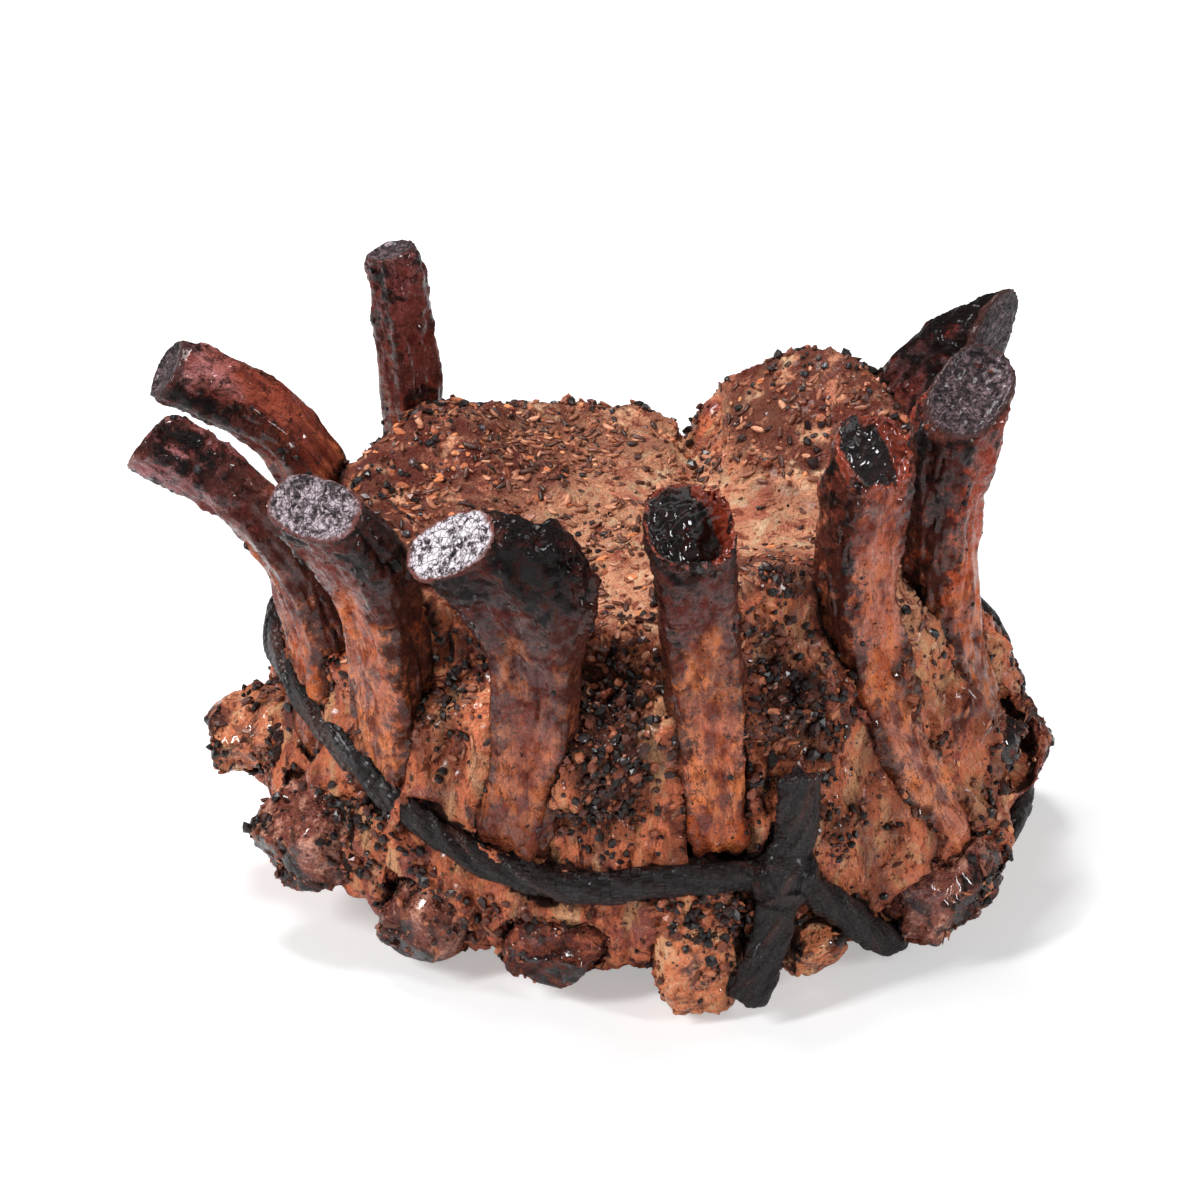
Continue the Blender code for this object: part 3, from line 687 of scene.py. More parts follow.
def spots_on(things, count, weight, draws):
    """Random places on the skins, as (places, normals), denser where weight is high."""
    places, outs, chances = [], [], []
    for thing in things:
        mesh = thing.data
        mesh.calc_loop_triangles()
        corners = np.empty(len(mesh.loop_triangles) * 3, np.int32)
        mesh.loop_triangles.foreach_get("vertices", corners)
        corners = corners.reshape(-1, 3)
        points, normals = points_of(thing), normals_of(thing)
        a, b, c = (points[corners[:, i]] for i in range(3))
        area = np.linalg.norm(np.cross(b - a, c - a), axis=1)
        chances.append(area * weight(thing, points / MM, normals)[corners].mean(1))
        mix = draws.dirichlet((1, 1, 1), len(corners))
        places.append(a * mix[:, :1] + b * mix[:, 1:2] + c * mix[:, 2:])
        outs.append(normals[corners].mean(1))
    places, outs, chances = np.concatenate(places), np.concatenate(outs), np.concatenate(chances)
    picked = draws.choice(len(places), size=count, replace=False, p=chances / chances.sum())
    return places[picked], outs[picked] / np.linalg.norm(outs[picked], axis=1)[:, None]


def attribute_of(thing, name):
    values = np.empty(len(thing.data.vertices), np.float32)
    thing.data.attributes[name].data.foreach_get("value", values)
    return values


def lay(label, kind, places, outs, sizes, draws, lift=0.2, tilt=0.35, stretch=0.2):
    """Copies the kind to every place, lying on the skin, as one mesh. Sizes are half lengths in mm."""
    count = len(places)
    helper = np.where(np.abs(outs[:, 2:]) < 0.9, [[0.0, 0, 1]], [[1.0, 0, 0]])
    first = np.cross(outs, helper)
    first /= np.linalg.norm(first, axis=1)[:, None]
    second = np.cross(outs, first)
    spin = draws.uniform(0, 2 * math.pi, count)[:, None]
    first, second = first * np.cos(spin) + second * np.sin(spin), second * np.cos(spin) - first * np.sin(spin)
    up = outs + first * draws.normal(0, tilt, (count, 1))
    up /= np.linalg.norm(up, axis=1)[:, None]
    first = np.cross(second, up)
    shapes = KINDS[kind]
    which = draws.integers(0, len(shapes), count)
    unit = np.abs(shapes[0][0]).max()
    scale = sizes / unit * MM
    vary = 1 + draws.uniform(-stretch, stretch, (count, 3))
    all_points, all_faces, tones, start = [], [], [], 0
    for number, (corners, faces) in enumerate(shapes):
        chosen = np.flatnonzero(which == number)
        shape = corners[None] * (vary[chosen] * scale[chosen, None])[:, None, :]
        axes = np.stack([first[chosen], second[chosen], up[chosen]], 1)
        base = places[chosen] + outs[chosen] * (sizes[chosen] * lift * MM)[:, None]
        made = np.einsum("nvi,nij->nvj", shape, axes) + base[:, None]
        all_points.append(made.reshape(-1, 3))
        tones.append(np.repeat(draws.uniform(0, 1, len(chosen)), len(corners)))
        for copy in range(len(chosen)):
            shift = start + copy * len(corners)
            all_faces.extend([shift + i for i in face] for face in faces)
        start += len(chosen) * len(corners)
    mesh = bpy.data.meshes.new(label)
    mesh.from_pydata(np.concatenate(all_points).tolist(), [], all_faces)
    thing = bpy.data.objects.new(label, mesh)
    bpy.context.scene.collection.objects.link(thing)
    put_points(thing, points_of(thing))
    paint(thing, "tone", np.concatenate(tones))
    mesh.shade_smooth() if kind == "caraway_seed" else mesh.shade_flat()
    print(label, count, "pieces,", sum(len(f) - 2 for f in all_faces), "triangles")
    return thing


# %% [markdown]
# ## Where the spices lie
# The weights say how likely a kind is at each point of a skin. The seeds need an open top, the pepper
# gathers at the rim and on the bones' shoulders, and the burnt crumbs like half-open folds.

# %% Weights and toppings
draws = np.random.default_rng(11)


def patchy(points, size, seed, low=-0.2, high=0.5):
    return ramp_up(rough(points, size, seed, 2), low, high)


def rim_of(points):
    """1 near the rim of the top, where crumbs roll and burn."""
    reach = np.hypot(points[:, 0], points[:, 1] / DEPTH_RATIO)
    return ramp_up(reach, 46, 60) * ramp_up(points[:, 2], 70, 84)


def seeds_here(thing, points, outs):
    top, air = attribute_of(thing, "top_crust"), attribute_of(thing, "open_air")
    calm = smooth_patch(points, 14, 16)
    side = ramp_up(points[:, 2], 45, 80) * 0.16
    left = ramp_up(-points[:, 0], -25, 20) + 0.25
    return (top * (0.12 + left * patchy(points, 16, 31)) + side) * ramp_up(air, 0.2, 0.6) * (1 - 0.93 * calm)


def grits_here(thing, points, outs):
    top, air = attribute_of(thing, "top_crust"), attribute_of(thing, "open_air")
    calm = smooth_patch(points, 14, 16)
    return (0.6 + 0.3 * top) * (0.06 + patchy(points, 10, 33, 0.0, 0.35)) * ramp_up(air, 0.1, 0.5) * (1 - 0.9 * calm)


def marrow_here(thing, points, outs):
    sawn, reach = attribute_of(thing, "sawn_share"), attribute_of(thing, "cut_reach")
    return ramp_up(sawn, 0.4, 0.8) * (1 - ramp_up(reach, 0.55, 0.8)) + 1e-9


def pepper_here(thing, points, outs):
    top, air = attribute_of(thing, "top_crust"), attribute_of(thing, "open_air")
    return (0.5 * top * patchy(points, 13, 37, 0, 0.4) + rim_of(points) + 0.10) * ramp_up(air, 0.15, 0.5)


def crumbs_here(thing, points, outs):
    air = attribute_of(thing, "open_air")
    fold = ramp_up(air, 0.05, 0.3) * (1 - ramp_up(air, 0.6, 1.0))
    burnt, gap = attribute_of(thing, "burnt_place"), attribute_of(thing, "bone_gap")
    beside = ramp_up(-gap, -4, -1) * ramp_up(points[:, 2], 15, 35)
    near = (fold * 0.22 + 0.6 * rim_of(points) + 0.9 * beside) * (0.04 + patchy(points, 10, 41, 0.0, 0.5))
    return (near + 1.1 * burnt) * ramp_up(air, 0.02, 0.15) * ramp_up(points[:, 2], 8, 20)


def flakes_here(thing, points, outs):
    top, air = attribute_of(thing, "top_crust"), attribute_of(thing, "open_air")
    left = ramp_up(-points[:, 0], -10, 40)
    return (top * (0.3 + left) * (0.2 + patchy(points, 14, 43)) + 0.05) * ramp_up(air, 0.3, 0.6)


def shreds_here(thing, points, outs):
    top, air = attribute_of(thing, "top_crust"), attribute_of(thing, "open_air")
    return (1 - top) * ramp_up(air, 0.1, 0.4) * (0.2 + patchy(points, 9, 47)) * ramp_up(points[:, 2], 4, 12)


def on_bones(thing, points, outs):
    share, sawn = attribute_of(thing, "bone_share"), attribute_of(thing, "sawn_share")
    air = attribute_of(thing, "open_air")
    edge = ramp_up(attribute_of(thing, "edge_reach"), 0.2, 0.9)
    where = (0.05 + edge) * (0.1 + patchy(points, 8, 51, 0.1, 0.5))
    return where * ramp_up(air, 0.1, 0.5) * (1 - sawn) * ramp_up(share, 0.0, 0.2)


share_of = 1
toppings = []
for label, kind, things, weight, count, low, high, lift, tilt in (
    ("caraway_seeds", "caraway_seed", [meat], seeds_here, 1700, 0.95, 1.75, 0.16, 0.22),
    ("brown_grits", "burnt_crumb", [meat, *knuckles.values()], grits_here, 7000, 0.3, 0.95, 0.15, 0.5),
    ("cracked_pepper", "pepper_chip", [meat], pepper_here, 330, 0.5, 1.5, 0.2, 0.4),
    ("onion_flakes", "onion_flake", [meat], flakes_here, 260, 0.7, 1.6, 0.08, 0.25),
    ("burnt_crumbs", "burnt_crumb", [meat, *knuckles.values()], crumbs_here, 9000, 0.3, 1.7, 0.3, 0.6),
    ("wet_marrow_grains", "wet_grain", [bones["rib_6"]], marrow_here, 70, 0.25, 0.6, 0.0, 0.9),
    ("dark_marrow_grains", "wet_grain", [bones[n] for n in ("rib_7", "rib_8", "rib_9")], marrow_here, 200, 0.2, 0.5,
     0.0, 0.9),
    ("torn_shreds", "shred", [meat, *knuckles.values()], shreds_here, 650, 1.2, 3.4, 0.05, 0.3),
    ("bone_pepper", "pepper_chip", list(bones.values()), on_bones, 300, 0.3, 1.1, 0.1, 0.5),
):
    places, outs = spots_on(things, int(count * share_of), weight, draws)
    sizes = low + (high - low) * draws.uniform(0, 1, len(places)) ** 2.4
    toppings.append(lay(label, kind, places, outs, sizes, draws, lift, tilt))

# %% [markdown]
# ## Node helpers for the finishes
# Every finish is a small tree of nodes. These helpers add a node and fill its sockets, so that a finish
# reads as a recipe. Patterns are read in millimetres, from the object's own coordinates or from the places
# stored on the bones and the tie.

# %% Adding and wiring nodes


def add(tree, kind, settings=None, **sockets):
    node = tree.nodes.new("ShaderNode" + kind)
    for name, value in (settings or {}).items():
        setattr(node, name, value)
    for name, value in sockets.items():
        socket = node.inputs[name.replace("_", " ")]
        if isinstance(value, bpy.types.NodeSocket):
            tree.links.new(value, socket)
        else:
            socket.default_value = value
    return node


def fill(tree, socket, value):
    if isinstance(value, bpy.types.NodeSocket):
        tree.links.new(value, socket)
    else:
        socket.default_value = (*value, 1) if isinstance(value, tuple) and len(value) == 3 else value


def mix(tree, factor, a, b, blend="MIX"):
    node = add(tree, "Mix", {"data_type": "RGBA", "blend_type": blend})
    for index, value in ((0, factor), (6, a), (7, b)):
        fill(tree, node.inputs[index], value)
    return node.outputs[2]


def calc(tree, work, a, b=0.0, clamp=False):
    node = add(tree, "Math", {"operation": work, "use_clamp": clamp})
    fill(tree, node.inputs[0], a)
    fill(tree, node.inputs[1], b)
    return node.outputs[0]


def between(tree, value, low, high, to_low=0.0, to_high=1.0):
    node = add(tree, "MapRange", {"interpolation_type": "SMOOTHSTEP"}, Value=value, From_Min=low, From_Max=high,
               To_Min=to_low, To_Max=to_high)
    return node.outputs["Result"]


def stretched(tree, vector, factors):
    node = add(tree, "VectorMath", {"operation": "MULTIPLY"})
    fill(tree, node.inputs[0], vector)
    node.inputs[1].default_value = factors
    return node.outputs[0]


def noise(tree, vector, scale, detail=4.0, roughness=0.55, twist=0.0):
    return add(tree, "TexNoise", None, Vector=vector, Scale=scale, Detail=detail, Roughness=roughness,
               Distortion=twist).outputs["Fac"]


def ramp(tree, value, stops):
    node = add(tree, "ValToRGB", None, Fac=value)
    while len(node.color_ramp.elements) < len(stops):
        node.color_ramp.elements.new(0.5)
    for element, (place, colour) in zip(node.color_ramp.elements, stops):
        element.position, element.color = place, (*colour, 1)
    return node.outputs["Color"]


def read(tree, name, output="Fac"):
    return add(tree, "Attribute", {"attribute_name": name}).outputs[output]


def object_mm(tree):
    """The object's own coordinates, in millimetres."""
    return stretched(tree, add(tree, "TexCoord").outputs["Object"], (1000, 1000, 1000))


def group(name, inputs, outputs):
    tree = bpy.data.node_groups.new(name, "ShaderNodeTree")
    for label, kind, value in inputs:
        made = tree.interface.new_socket(name=label, in_out="INPUT", socket_type="NodeSocket" + kind)
        if value is not None:
            made.default_value = value
    for label, kind in outputs:
        tree.interface.new_socket(name=label, in_out="OUTPUT", socket_type="NodeSocket" + kind)
    return tree, tree.nodes.new("NodeGroupInput"), tree.nodes.new("NodeGroupOutput")


def use(tree, name, **sockets):
    node = add(tree, "Group")
    node.node_tree = bpy.data.node_groups[name]
    for label, value in sockets.items():
        fill(tree, node.inputs[label.replace("_", " ")], value)
    return node.outputs


def finish(name):
    """A new material with an empty tree but for its shader and output."""
    made = bpy.data.materials.new(name)
    made.use_nodes = True
    tree = made.node_tree
    tree.nodes["Principled BSDF"].inputs["Specular IOR Level"].default_value = 0.26
    return made, tree, tree.nodes["Principled BSDF"]


def relief(tree, shader, height, distance, strength=1.0):
    """Fine relief in the shading, this many metres deep."""
    bump = add(tree, "Bump", None, Height=height, Strength=strength, Distance=distance)
    tree.links.new(bump.outputs["Normal"], shader.inputs["Normal"])


print("node helpers ready")

# %% [markdown]
# ## Effects that several finishes share
# Fibres run along a bone. Char is black with a dark brown bloom, and it covers the colour under it where the
# mask is high. Grease makes wet patches between dry ones. Mottle breaks a colour into darker, lighter and
# plum patches. Each effect is one group, placed in every finish that shows it.

# %% Fibre group
tree, given, made = group("lengthwise_fibre", [("Vector", "Vector", None), ("Scale", "Float", 1.0)],
                          [("Streak", "Float"), ("Height", "Float")])
thin = stretched(tree, given.outputs["Vector"], (1, 0.09, 1))
coarse = add(tree, "TexNoise", None, Vector=thin, Scale=given.outputs["Scale"], Detail=3.0, Distortion=0.4)
fine = add(tree, "TexNoise", None, Vector=thin, Scale=calc(tree, "MULTIPLY", given.outputs["Scale"], 3.1),
           Detail=3.0, Distortion=0.2)
both = calc(tree, "ADD", calc(tree, "MULTIPLY", coarse.outputs["Fac"], 0.6),
            calc(tree, "MULTIPLY", fine.outputs["Fac"], 0.4))
tree.links.new(between(tree, both, 0.36, 0.64), made.inputs["Streak"])
tree.links.new(both, made.inputs["Height"])
print(tree.name, len(tree.nodes), "nodes")

# %% Char group
tree, given, made = group(
    "char_crust", [("Color", "Color", (0.3, 0.1, 0.05, 1)), ("Mask", "Float", 0.0), ("Vector", "Vector", None)],
    [("Color", "Color"), ("Roughness", "Float"), ("Height", "Float"), ("Burnt", "Float")])
grit = add(tree, "TexNoise", None, Vector=given.outputs["Vector"], Scale=1.6, Detail=3.0, Roughness=0.68)
blot = add(tree, "TexNoise", None, Vector=given.outputs["Vector"], Scale=0.24, Detail=5.0, Roughness=0.68)
edge = calc(tree, "ADD", given.outputs["Mask"], calc(
    tree, "MULTIPLY", calc(tree, "SUBTRACT", blot.outputs["Fac"], 0.5), 1.5))
burnt = between(tree, edge, 0.36, 0.62)
bloom = ramp(tree, grit.outputs["Fac"], [(0.30, srgb(6, 3, 3)), (0.55, srgb(19, 10, 10)), (0.80, srgb(52, 28, 26))])
tree.links.new(mix(tree, burnt, given.outputs["Color"], bloom), made.inputs["Color"])
tree.links.new(between(tree, grit.outputs["Fac"], 0.3, 0.7, 0.30, 0.65), made.inputs["Roughness"])
tree.links.new(calc(tree, "MULTIPLY", grit.outputs["Fac"], burnt), made.inputs["Height"])
tree.links.new(burnt, made.inputs["Burnt"])
print(tree.name, len(tree.nodes), "nodes")

# %% Grease group
tree, given, made = group("grease_film", [("Vector", "Vector", None), ("Amount", "Float", 0.5)],
                          [("Coat", "Float"), ("Roughness", "Float")])
patch = add(tree, "TexNoise", None, Vector=given.outputs["Vector"], Scale=0.24, Detail=5.0, Roughness=0.72)
wet = between(tree, calc(tree, "ADD", patch.outputs["Fac"], calc(tree, "MULTIPLY", given.outputs["Amount"], 0.4)),
              0.62, 0.78)
tree.links.new(calc(tree, "MULTIPLY", wet, 0.8), made.inputs["Coat"])
tree.links.new(between(tree, wet, 0.0, 1.0, 0.58, 0.14), made.inputs["Roughness"])
print(tree.name, len(tree.nodes), "nodes")

# %% Mottle group
tree, given, made = group(
    "mottle", [("Color", "Color", (0.3, 0.1, 0.05, 1)), ("Dark", "Color", (0.05, 0.02, 0.01, 1)),
               ("Light", "Color", (0.6, 0.3, 0.1, 1)), ("Plum", "Color", (0.12, 0.04, 0.04, 1)),
               ("Vector", "Vector", None), ("Scale", "Float", 0.3)],
    [("Color", "Color"), ("Height", "Float")])
big = add(tree, "TexNoise", None, Vector=given.outputs["Vector"], Scale=given.outputs["Scale"], Detail=5.0,
          Roughness=0.66, Distortion=0.5)
other = add(tree, "TexNoise", None, Vector=stretched(tree, given.outputs["Vector"], (-1, 1, 1)),
            Scale=calc(tree, "MULTIPLY", given.outputs["Scale"], 0.6), Detail=5.0, Roughness=0.7, Distortion=0.8)
small = add(tree, "TexNoise", None, Vector=given.outputs["Vector"],
            Scale=calc(tree, "MULTIPLY", given.outputs["Scale"], 6.3), Detail=3.0, Roughness=0.65)
light = mix(tree, between(tree, big.outputs["Fac"], 0.50, 0.64), given.outputs["Color"], given.outputs["Light"])
plum = mix(tree, between(tree, other.outputs["Fac"], 0.50, 0.62, 0.0, 0.85), light, given.outputs["Plum"])
dark = mix(tree, between(tree, big.outputs["Fac"], 0.46, 0.36), plum, given.outputs["Dark"])
speck = mix(tree, between(tree, small.outputs["Fac"], 0.44, 0.32, 0.0, 0.85), dark, given.outputs["Dark"])
tree.links.new(mix(tree, between(tree, small.outputs["Fac"], 0.56, 0.70, 0.0, 0.6), speck, given.outputs["Light"]),
               made.inputs["Color"])
tree.links.new(small.outputs["Fac"], made.inputs["Height"])
print(tree.name, len(tree.nodes), "nodes")

# %% [markdown]
# ## Bone finishes
# A roasted rib is brown at its foot, tan to orange and glossy where it stood clear of the meat, plum and
# then black at its end. The burnt share differs from bone to bone, so one recipe takes each bone's own row
# of colours along its length, how much of its end is burnt, and how strongly amber fat shows on it.

# %% The recipe and one finish for each bone
BROWN, TAN, ORANGE, PINK, PLUM, DARK = (
    srgb(92, 42, 26), srgb(150, 80, 44), srgb(160, 70, 28), srgb(176, 94, 66), srgb(92, 37, 30), srgb(50, 23, 20))

# colours from foot to tip, how much of the end is burnt, and how strongly the amber fat shows
BONE_ROWS = {
    "rib_1": ([(0.0, BROWN), (0.45, ORANGE), (0.6, PLUM), (0.85, srgb(112, 52, 48)), (1, srgb(120, 68, 66))],
              0.08, 0.3),
    "rib_2": ([(0.0, BROWN), (0.3, ORANGE), (0.5, srgb(110, 46, 32)), (0.75, srgb(126, 56, 38)),
               (1, srgb(142, 92, 92))], 0.10, 0.5),
    "rib_3": ([(0.0, BROWN), (0.3, ORANGE), (0.45, srgb(104, 44, 36)), (0.7, srgb(92, 46, 44)),
               (1, srgb(150, 102, 104))], 0.10, 0.5),
    "rib_4": ([(0.0, BROWN), (0.22, TAN), (0.42, PINK), (0.6, ORANGE), (0.78, srgb(112, 50, 40)),
               (1, srgb(76, 38, 36))], 0.08, 0.8),
    "rib_5": ([(0.0, BROWN), (0.2, srgb(128, 64, 38)), (0.34, srgb(140, 72, 52)), (0.46, srgb(78, 31, 26)),
               (0.7, srgb(60, 27, 26)), (1, srgb(48, 22, 23))], 0.2, 0.45),
    "rib_6": ([(0.0, BROWN), (0.12, ORANGE), (0.32, PINK), (0.5, TAN), (0.66, PLUM), (1, DARK)], 0.12, 0.8),
    "rib_7": ([(0.0, PINK), (0.25, srgb(190, 122, 100)), (0.45, ORANGE), (0.62, PINK), (0.78, PINK),
               (1, srgb(146, 66, 50))], 0.0, 0.85),
    "rib_8": ([(0.0, BROWN), (0.25, TAN), (0.5, srgb(176, 78, 40)), (0.75, srgb(158, 64, 40)),
               (1, srgb(120, 52, 40))], 0.03, 0.6),
    "rib_9": ([(0.0, BROWN), (0.3, ORANGE), (0.55, PLUM), (0.8, srgb(62, 42, 44)), (1, srgb(60, 42, 44))],
              0.30, 0.3),
}


def bone_finish(name, stops, burning, fatty):
    made, tree, shader = finish(name)
    place, share = read(tree, "bone_place", "Vector"), read(tree, "bone_share")
    air, stuck, edge = read(tree, "open_air"), read(tree, "stuck_meat"), read(tree, "edge_reach")
    broad = noise(tree, stretched(tree, place, (1, 0.6, 1)), 0.12, 5.0, 0.66)
    warp = calc(tree, "MULTIPLY", calc(tree, "SUBTRACT", broad, 0.5), 0.6)
    colour = ramp(tree, calc(tree, "ADD", share, warp), stops)

    # amber and deep red patches, then veins, then the darker sides, partly the bone's own brown and partly painted
    # shade where it meets the meat, and black pits
    clear = between(tree, share, 0.85, 0.6)
    amber = between(tree, noise(tree, stretched(tree, place, (1, 0.5, 1)), 0.15, 5.0, 0.6), 0.46, 0.62, 0.0, fatty)
    colour = mix(tree, calc(tree, "MULTIPLY", amber, clear), colour, srgb(204, 116, 66))
    rich = between(tree, noise(tree, stretched(tree, place, (-1, 0.45, 1)), 0.2, 5.0, 0.62), 0.46, 0.62, 0.0, 0.85)
    colour = mix(tree, rich, colour, srgb(92, 30, 19))
    fibre = use(tree, "lengthwise_fibre", Vector=place, Scale=1.2)
    colour = mix(tree, between(tree, fibre["Streak"], 0.4, 0.0, 0.0, 0.22), colour, srgb(70, 26, 14))
    line = noise(tree, stretched(tree, place, (1, 0.3, 1)), 0.3, 5.0, 0.6, 0.8)
    line = between(tree, calc(tree, "ABSOLUTE", calc(tree, "SUBTRACT", line, 0.5)), 0.010, 0.002, 0.0, 0.8)
    colour = mix(tree, line, colour, srgb(44, 14, 10))
    rag = calc(tree, "MULTIPLY", calc(tree, "SUBTRACT", noise(tree, place, 0.26, 5.0, 0.7), 0.5), 2.6)
    # partly painted shade: the sides of the bar go dark brown beside the meat
    sides = between(tree, calc(tree, "ADD", edge, rag), 0.50, 0.95, 0.0, 0.95)
    colour = mix(tree, sides, colour, srgb(62, 24, 17))
    pits = between(tree, noise(tree, place, 0.7, 4.0, 0.6), 0.635, 0.675, 0.0, 0.95)
    colour = mix(tree, pits, colour, srgb(24, 11, 9))

    # meat stuck to the bone, and painted shade in the deep places between
    torn = use(tree, "mottle", Color=srgb(84, 38, 22), Dark=srgb(24, 11, 8), Light=srgb(156, 80, 36),
               Plum=srgb(60, 28, 26), Vector=place, Scale=0.3)
    colour = mix(tree, stuck, colour, torn["Color"])
    # painted shade: nearly black where few rays got away
    colour = mix(tree, between(tree, air, 0.5, 0.05, 0.0, 0.9), colour, srgb(30, 13, 10))

    # char towards the end, plus char colour painted as shade where the bone is shut in and at its sides, and a thin
    # rim of bare bone round the saw cut
    char_and_shade = calc(tree, "ADD", between(tree, share, 0.5, 1.0, 0.0, burning + 0.28),
                between(tree, air, 0.5, 0.0, 0.0, 0.3))
    char_and_shade = calc(tree, "ADD", char_and_shade, calc(tree, "MULTIPLY", sides, 0.16))
    char = use(tree, "char_crust", Color=colour, Mask=char_and_shade, Vector=place)
    rim = calc(tree, "MULTIPLY", read(tree, "sawn_share"), between(tree, noise(tree, place, 0.5, 4.0), 0.40, 0.58))
    tree.links.new(mix(tree, calc(tree, "MULTIPLY", rim, 0.4), char["Color"], srgb(104, 62, 54)),
                   shader.inputs["Base Color"])
    shader.inputs["Specular IOR Level"].default_value = 0.16
    grease = use(tree, "grease_film", Vector=place, Amount=0.55)
    dull = add(tree, "Mix", {"data_type": "FLOAT"})
    for index, value in ((0, char["Burnt"]), (2, grease["Roughness"]), (3, char["Roughness"])):
        fill(tree, dull.inputs[index], value)
    tree.links.new(dull.outputs[0], shader.inputs["Roughness"])
    tree.links.new(calc(tree, "MULTIPLY", grease["Coat"], between(tree, char["Burnt"], 0.0, 1.0, 1.0, 0.25)),
                   shader.inputs["Coat Weight"])
    shader.inputs["Coat Roughness"].default_value = 0.09
    height = calc(tree, "ADD", calc(tree, "MULTIPLY", fibre["Height"], 0.3),
                  calc(tree, "MULTIPLY", char["Height"], 1.8))
    height = calc(tree, "ADD", height, calc(tree, "MULTIPLY", noise(tree, place, 0.9, 4.0, 0.7), 0.6))
    height = calc(tree, "ADD", height, calc(tree, "MULTIPLY", pits, 0.3))
    height = calc(tree, "ADD", height, calc(tree, "MULTIPLY", calc(tree, "MULTIPLY", torn["Height"], stuck), 1.2))
    height = calc(tree, "SUBTRACT", height, calc(tree, "MULTIPLY", line, 0.25))
    relief(tree, shader, height, 0.0019)
    return made


bone_finishes = {name: bone_finish("roasted_" + name, *row) for name, row in BONE_ROWS.items()}
print("bone finishes:", len(bone_finishes))

# %% [markdown]
# ## The sawn ends
# The saw leaves a face of spongy marrow inside a thin ring of hard bone. Where it dried it is grey white
# with black pores, and where it stayed wet it is black jelly with bright wet points over red amber. All the
# kinds are one recipe with different colours, put on the faces of the bone that lie inside the ring. Only the
# wet kind has a bare, red brown wall on its right.

# %% Marrow finishes

# colours from pore to marrow, roughness, depth of the pores, colour of the ring, and wetness
MARROW = {
    "dry": ([(0.40, srgb(10, 7, 8)), (0.45, srgb(84, 70, 74)), (0.50, srgb(190, 182, 188)),
             (0.7, srgb(206, 200, 205))], 0.40, 0.9, srgb(92, 44, 36), 0.0),
    "grey": ([(0.42, srgb(9, 7, 8)), (0.48, srgb(66, 54, 58)), (0.55, srgb(150, 136, 142)),
              (0.85, srgb(200, 190, 196))], 0.40, 1.0, srgb(88, 48, 44), 0.1),
    "wet": ([(0.3, srgb(6, 3, 3)), (0.5, srgb(20, 9, 7)), (0.7, srgb(60, 24, 16)), (1.0, srgb(120, 56, 40))],
            0.5, 0.7, srgb(124, 44, 22), 1.0),
    "burnt": ([(0.3, srgb(10, 7, 7)), (0.46, srgb(34, 23, 24)), (0.56, srgb(92, 74, 78)), (0.8, srgb(156, 136, 142))],
              0.45, 1.1, srgb(56, 28, 24), 0.2),
}


def marrow_finish(kind):
    stops, roughness, depth, rim, wet = MARROW[kind]
    made, tree, shader = finish("marrow_" + kind)
    place = read(tree, "bone_place", "Vector")
    reach = read(tree, "cut_reach")
    pores = noise(tree, place, 0.62, 5.0, 0.66, 0.8)
    clumps = noise(tree, place, 0.24, 3.0)
    mask = calc(tree, "ADD", calc(tree, "MULTIPLY", pores, 0.72), calc(tree, "MULTIPLY", clumps, 0.28))
    colour = ramp(tree, mask, stops)
    bent = add(tree, "VectorMath", {"operation": "ADD"})
    fill(tree, bent.inputs[0], place)
    fill(tree, bent.inputs[1], add(tree, "TexNoise", None, Vector=place, Scale=0.7).outputs["Color"])
    crack = add(tree, "TexVoronoi", {"feature": "DISTANCE_TO_EDGE"}, Vector=bent.outputs[0], Scale=0.75)
    colour = mix(tree, between(tree, crack.outputs["Distance"], 0.09, 0.02, 0.0, 0.85), colour, srgb(12, 8, 9))
    wander = calc(tree, "MULTIPLY", calc(tree, "SUBTRACT", clumps, 0.5), 0.3)
    if kind == "wet":  # the pit's right wall is bare, red brown bone
        side = between(tree, add(tree, "SeparateXYZ", None, Vector=place).outputs[0], 1.0, 7.0, 0.0, 0.32)
        wander = calc(tree, "ADD", wander, side)
    colour = mix(tree, between(tree, calc(tree, "ADD", reach, wander), 0.80, 0.93), colour, rim)
    tree.links.new(colour, shader.inputs["Base Color"])
    shader.inputs["Roughness"].default_value = roughness
    shader.inputs["Coat Weight"].default_value, shader.inputs["Coat Roughness"].default_value = wet, 0.05
    cells = add(tree, "TexVoronoi", {"feature": "F1"}, Vector=place, Scale=0.85, Randomness=1.0)
    height = calc(tree, "ADD", pores, calc(tree, "MULTIPLY", cells.outputs["Distance"], -0.6))
    relief(tree, shader, height, 0.0012 * depth)
    return made


marrow_finishes = {kind: marrow_finish(kind) for kind in MARROW}
MARROW_OF = {"rib_1": "burnt", "rib_2": "burnt", "rib_3": "burnt", "rib_4": "grey", "rib_5": "dry", "rib_6": "wet",
             "rib_7": "wet", "rib_8": "burnt", "rib_9": "burnt"}
print("marrow finishes:", list(marrow_finishes))

# %% Finishes onto the bones
for name, bone in bones.items():
    bone.data.materials.append(bone_finishes[name])
    bone.data.materials.append(marrow_finishes[MARROW_OF[name]])
    sawn, reach = attribute_of(bone, "sawn_share"), attribute_of(bone, "cut_reach")
    inside = (sawn > 0.3) & (reach < 0.95)
    for face in bone.data.polygons:
        if all(inside[i] for i in face.vertices):
            face.material_index = 1
print("marrow faces:", {n: sum(f.material_index for f in b.data.polygons) for n, b in bones.items()})
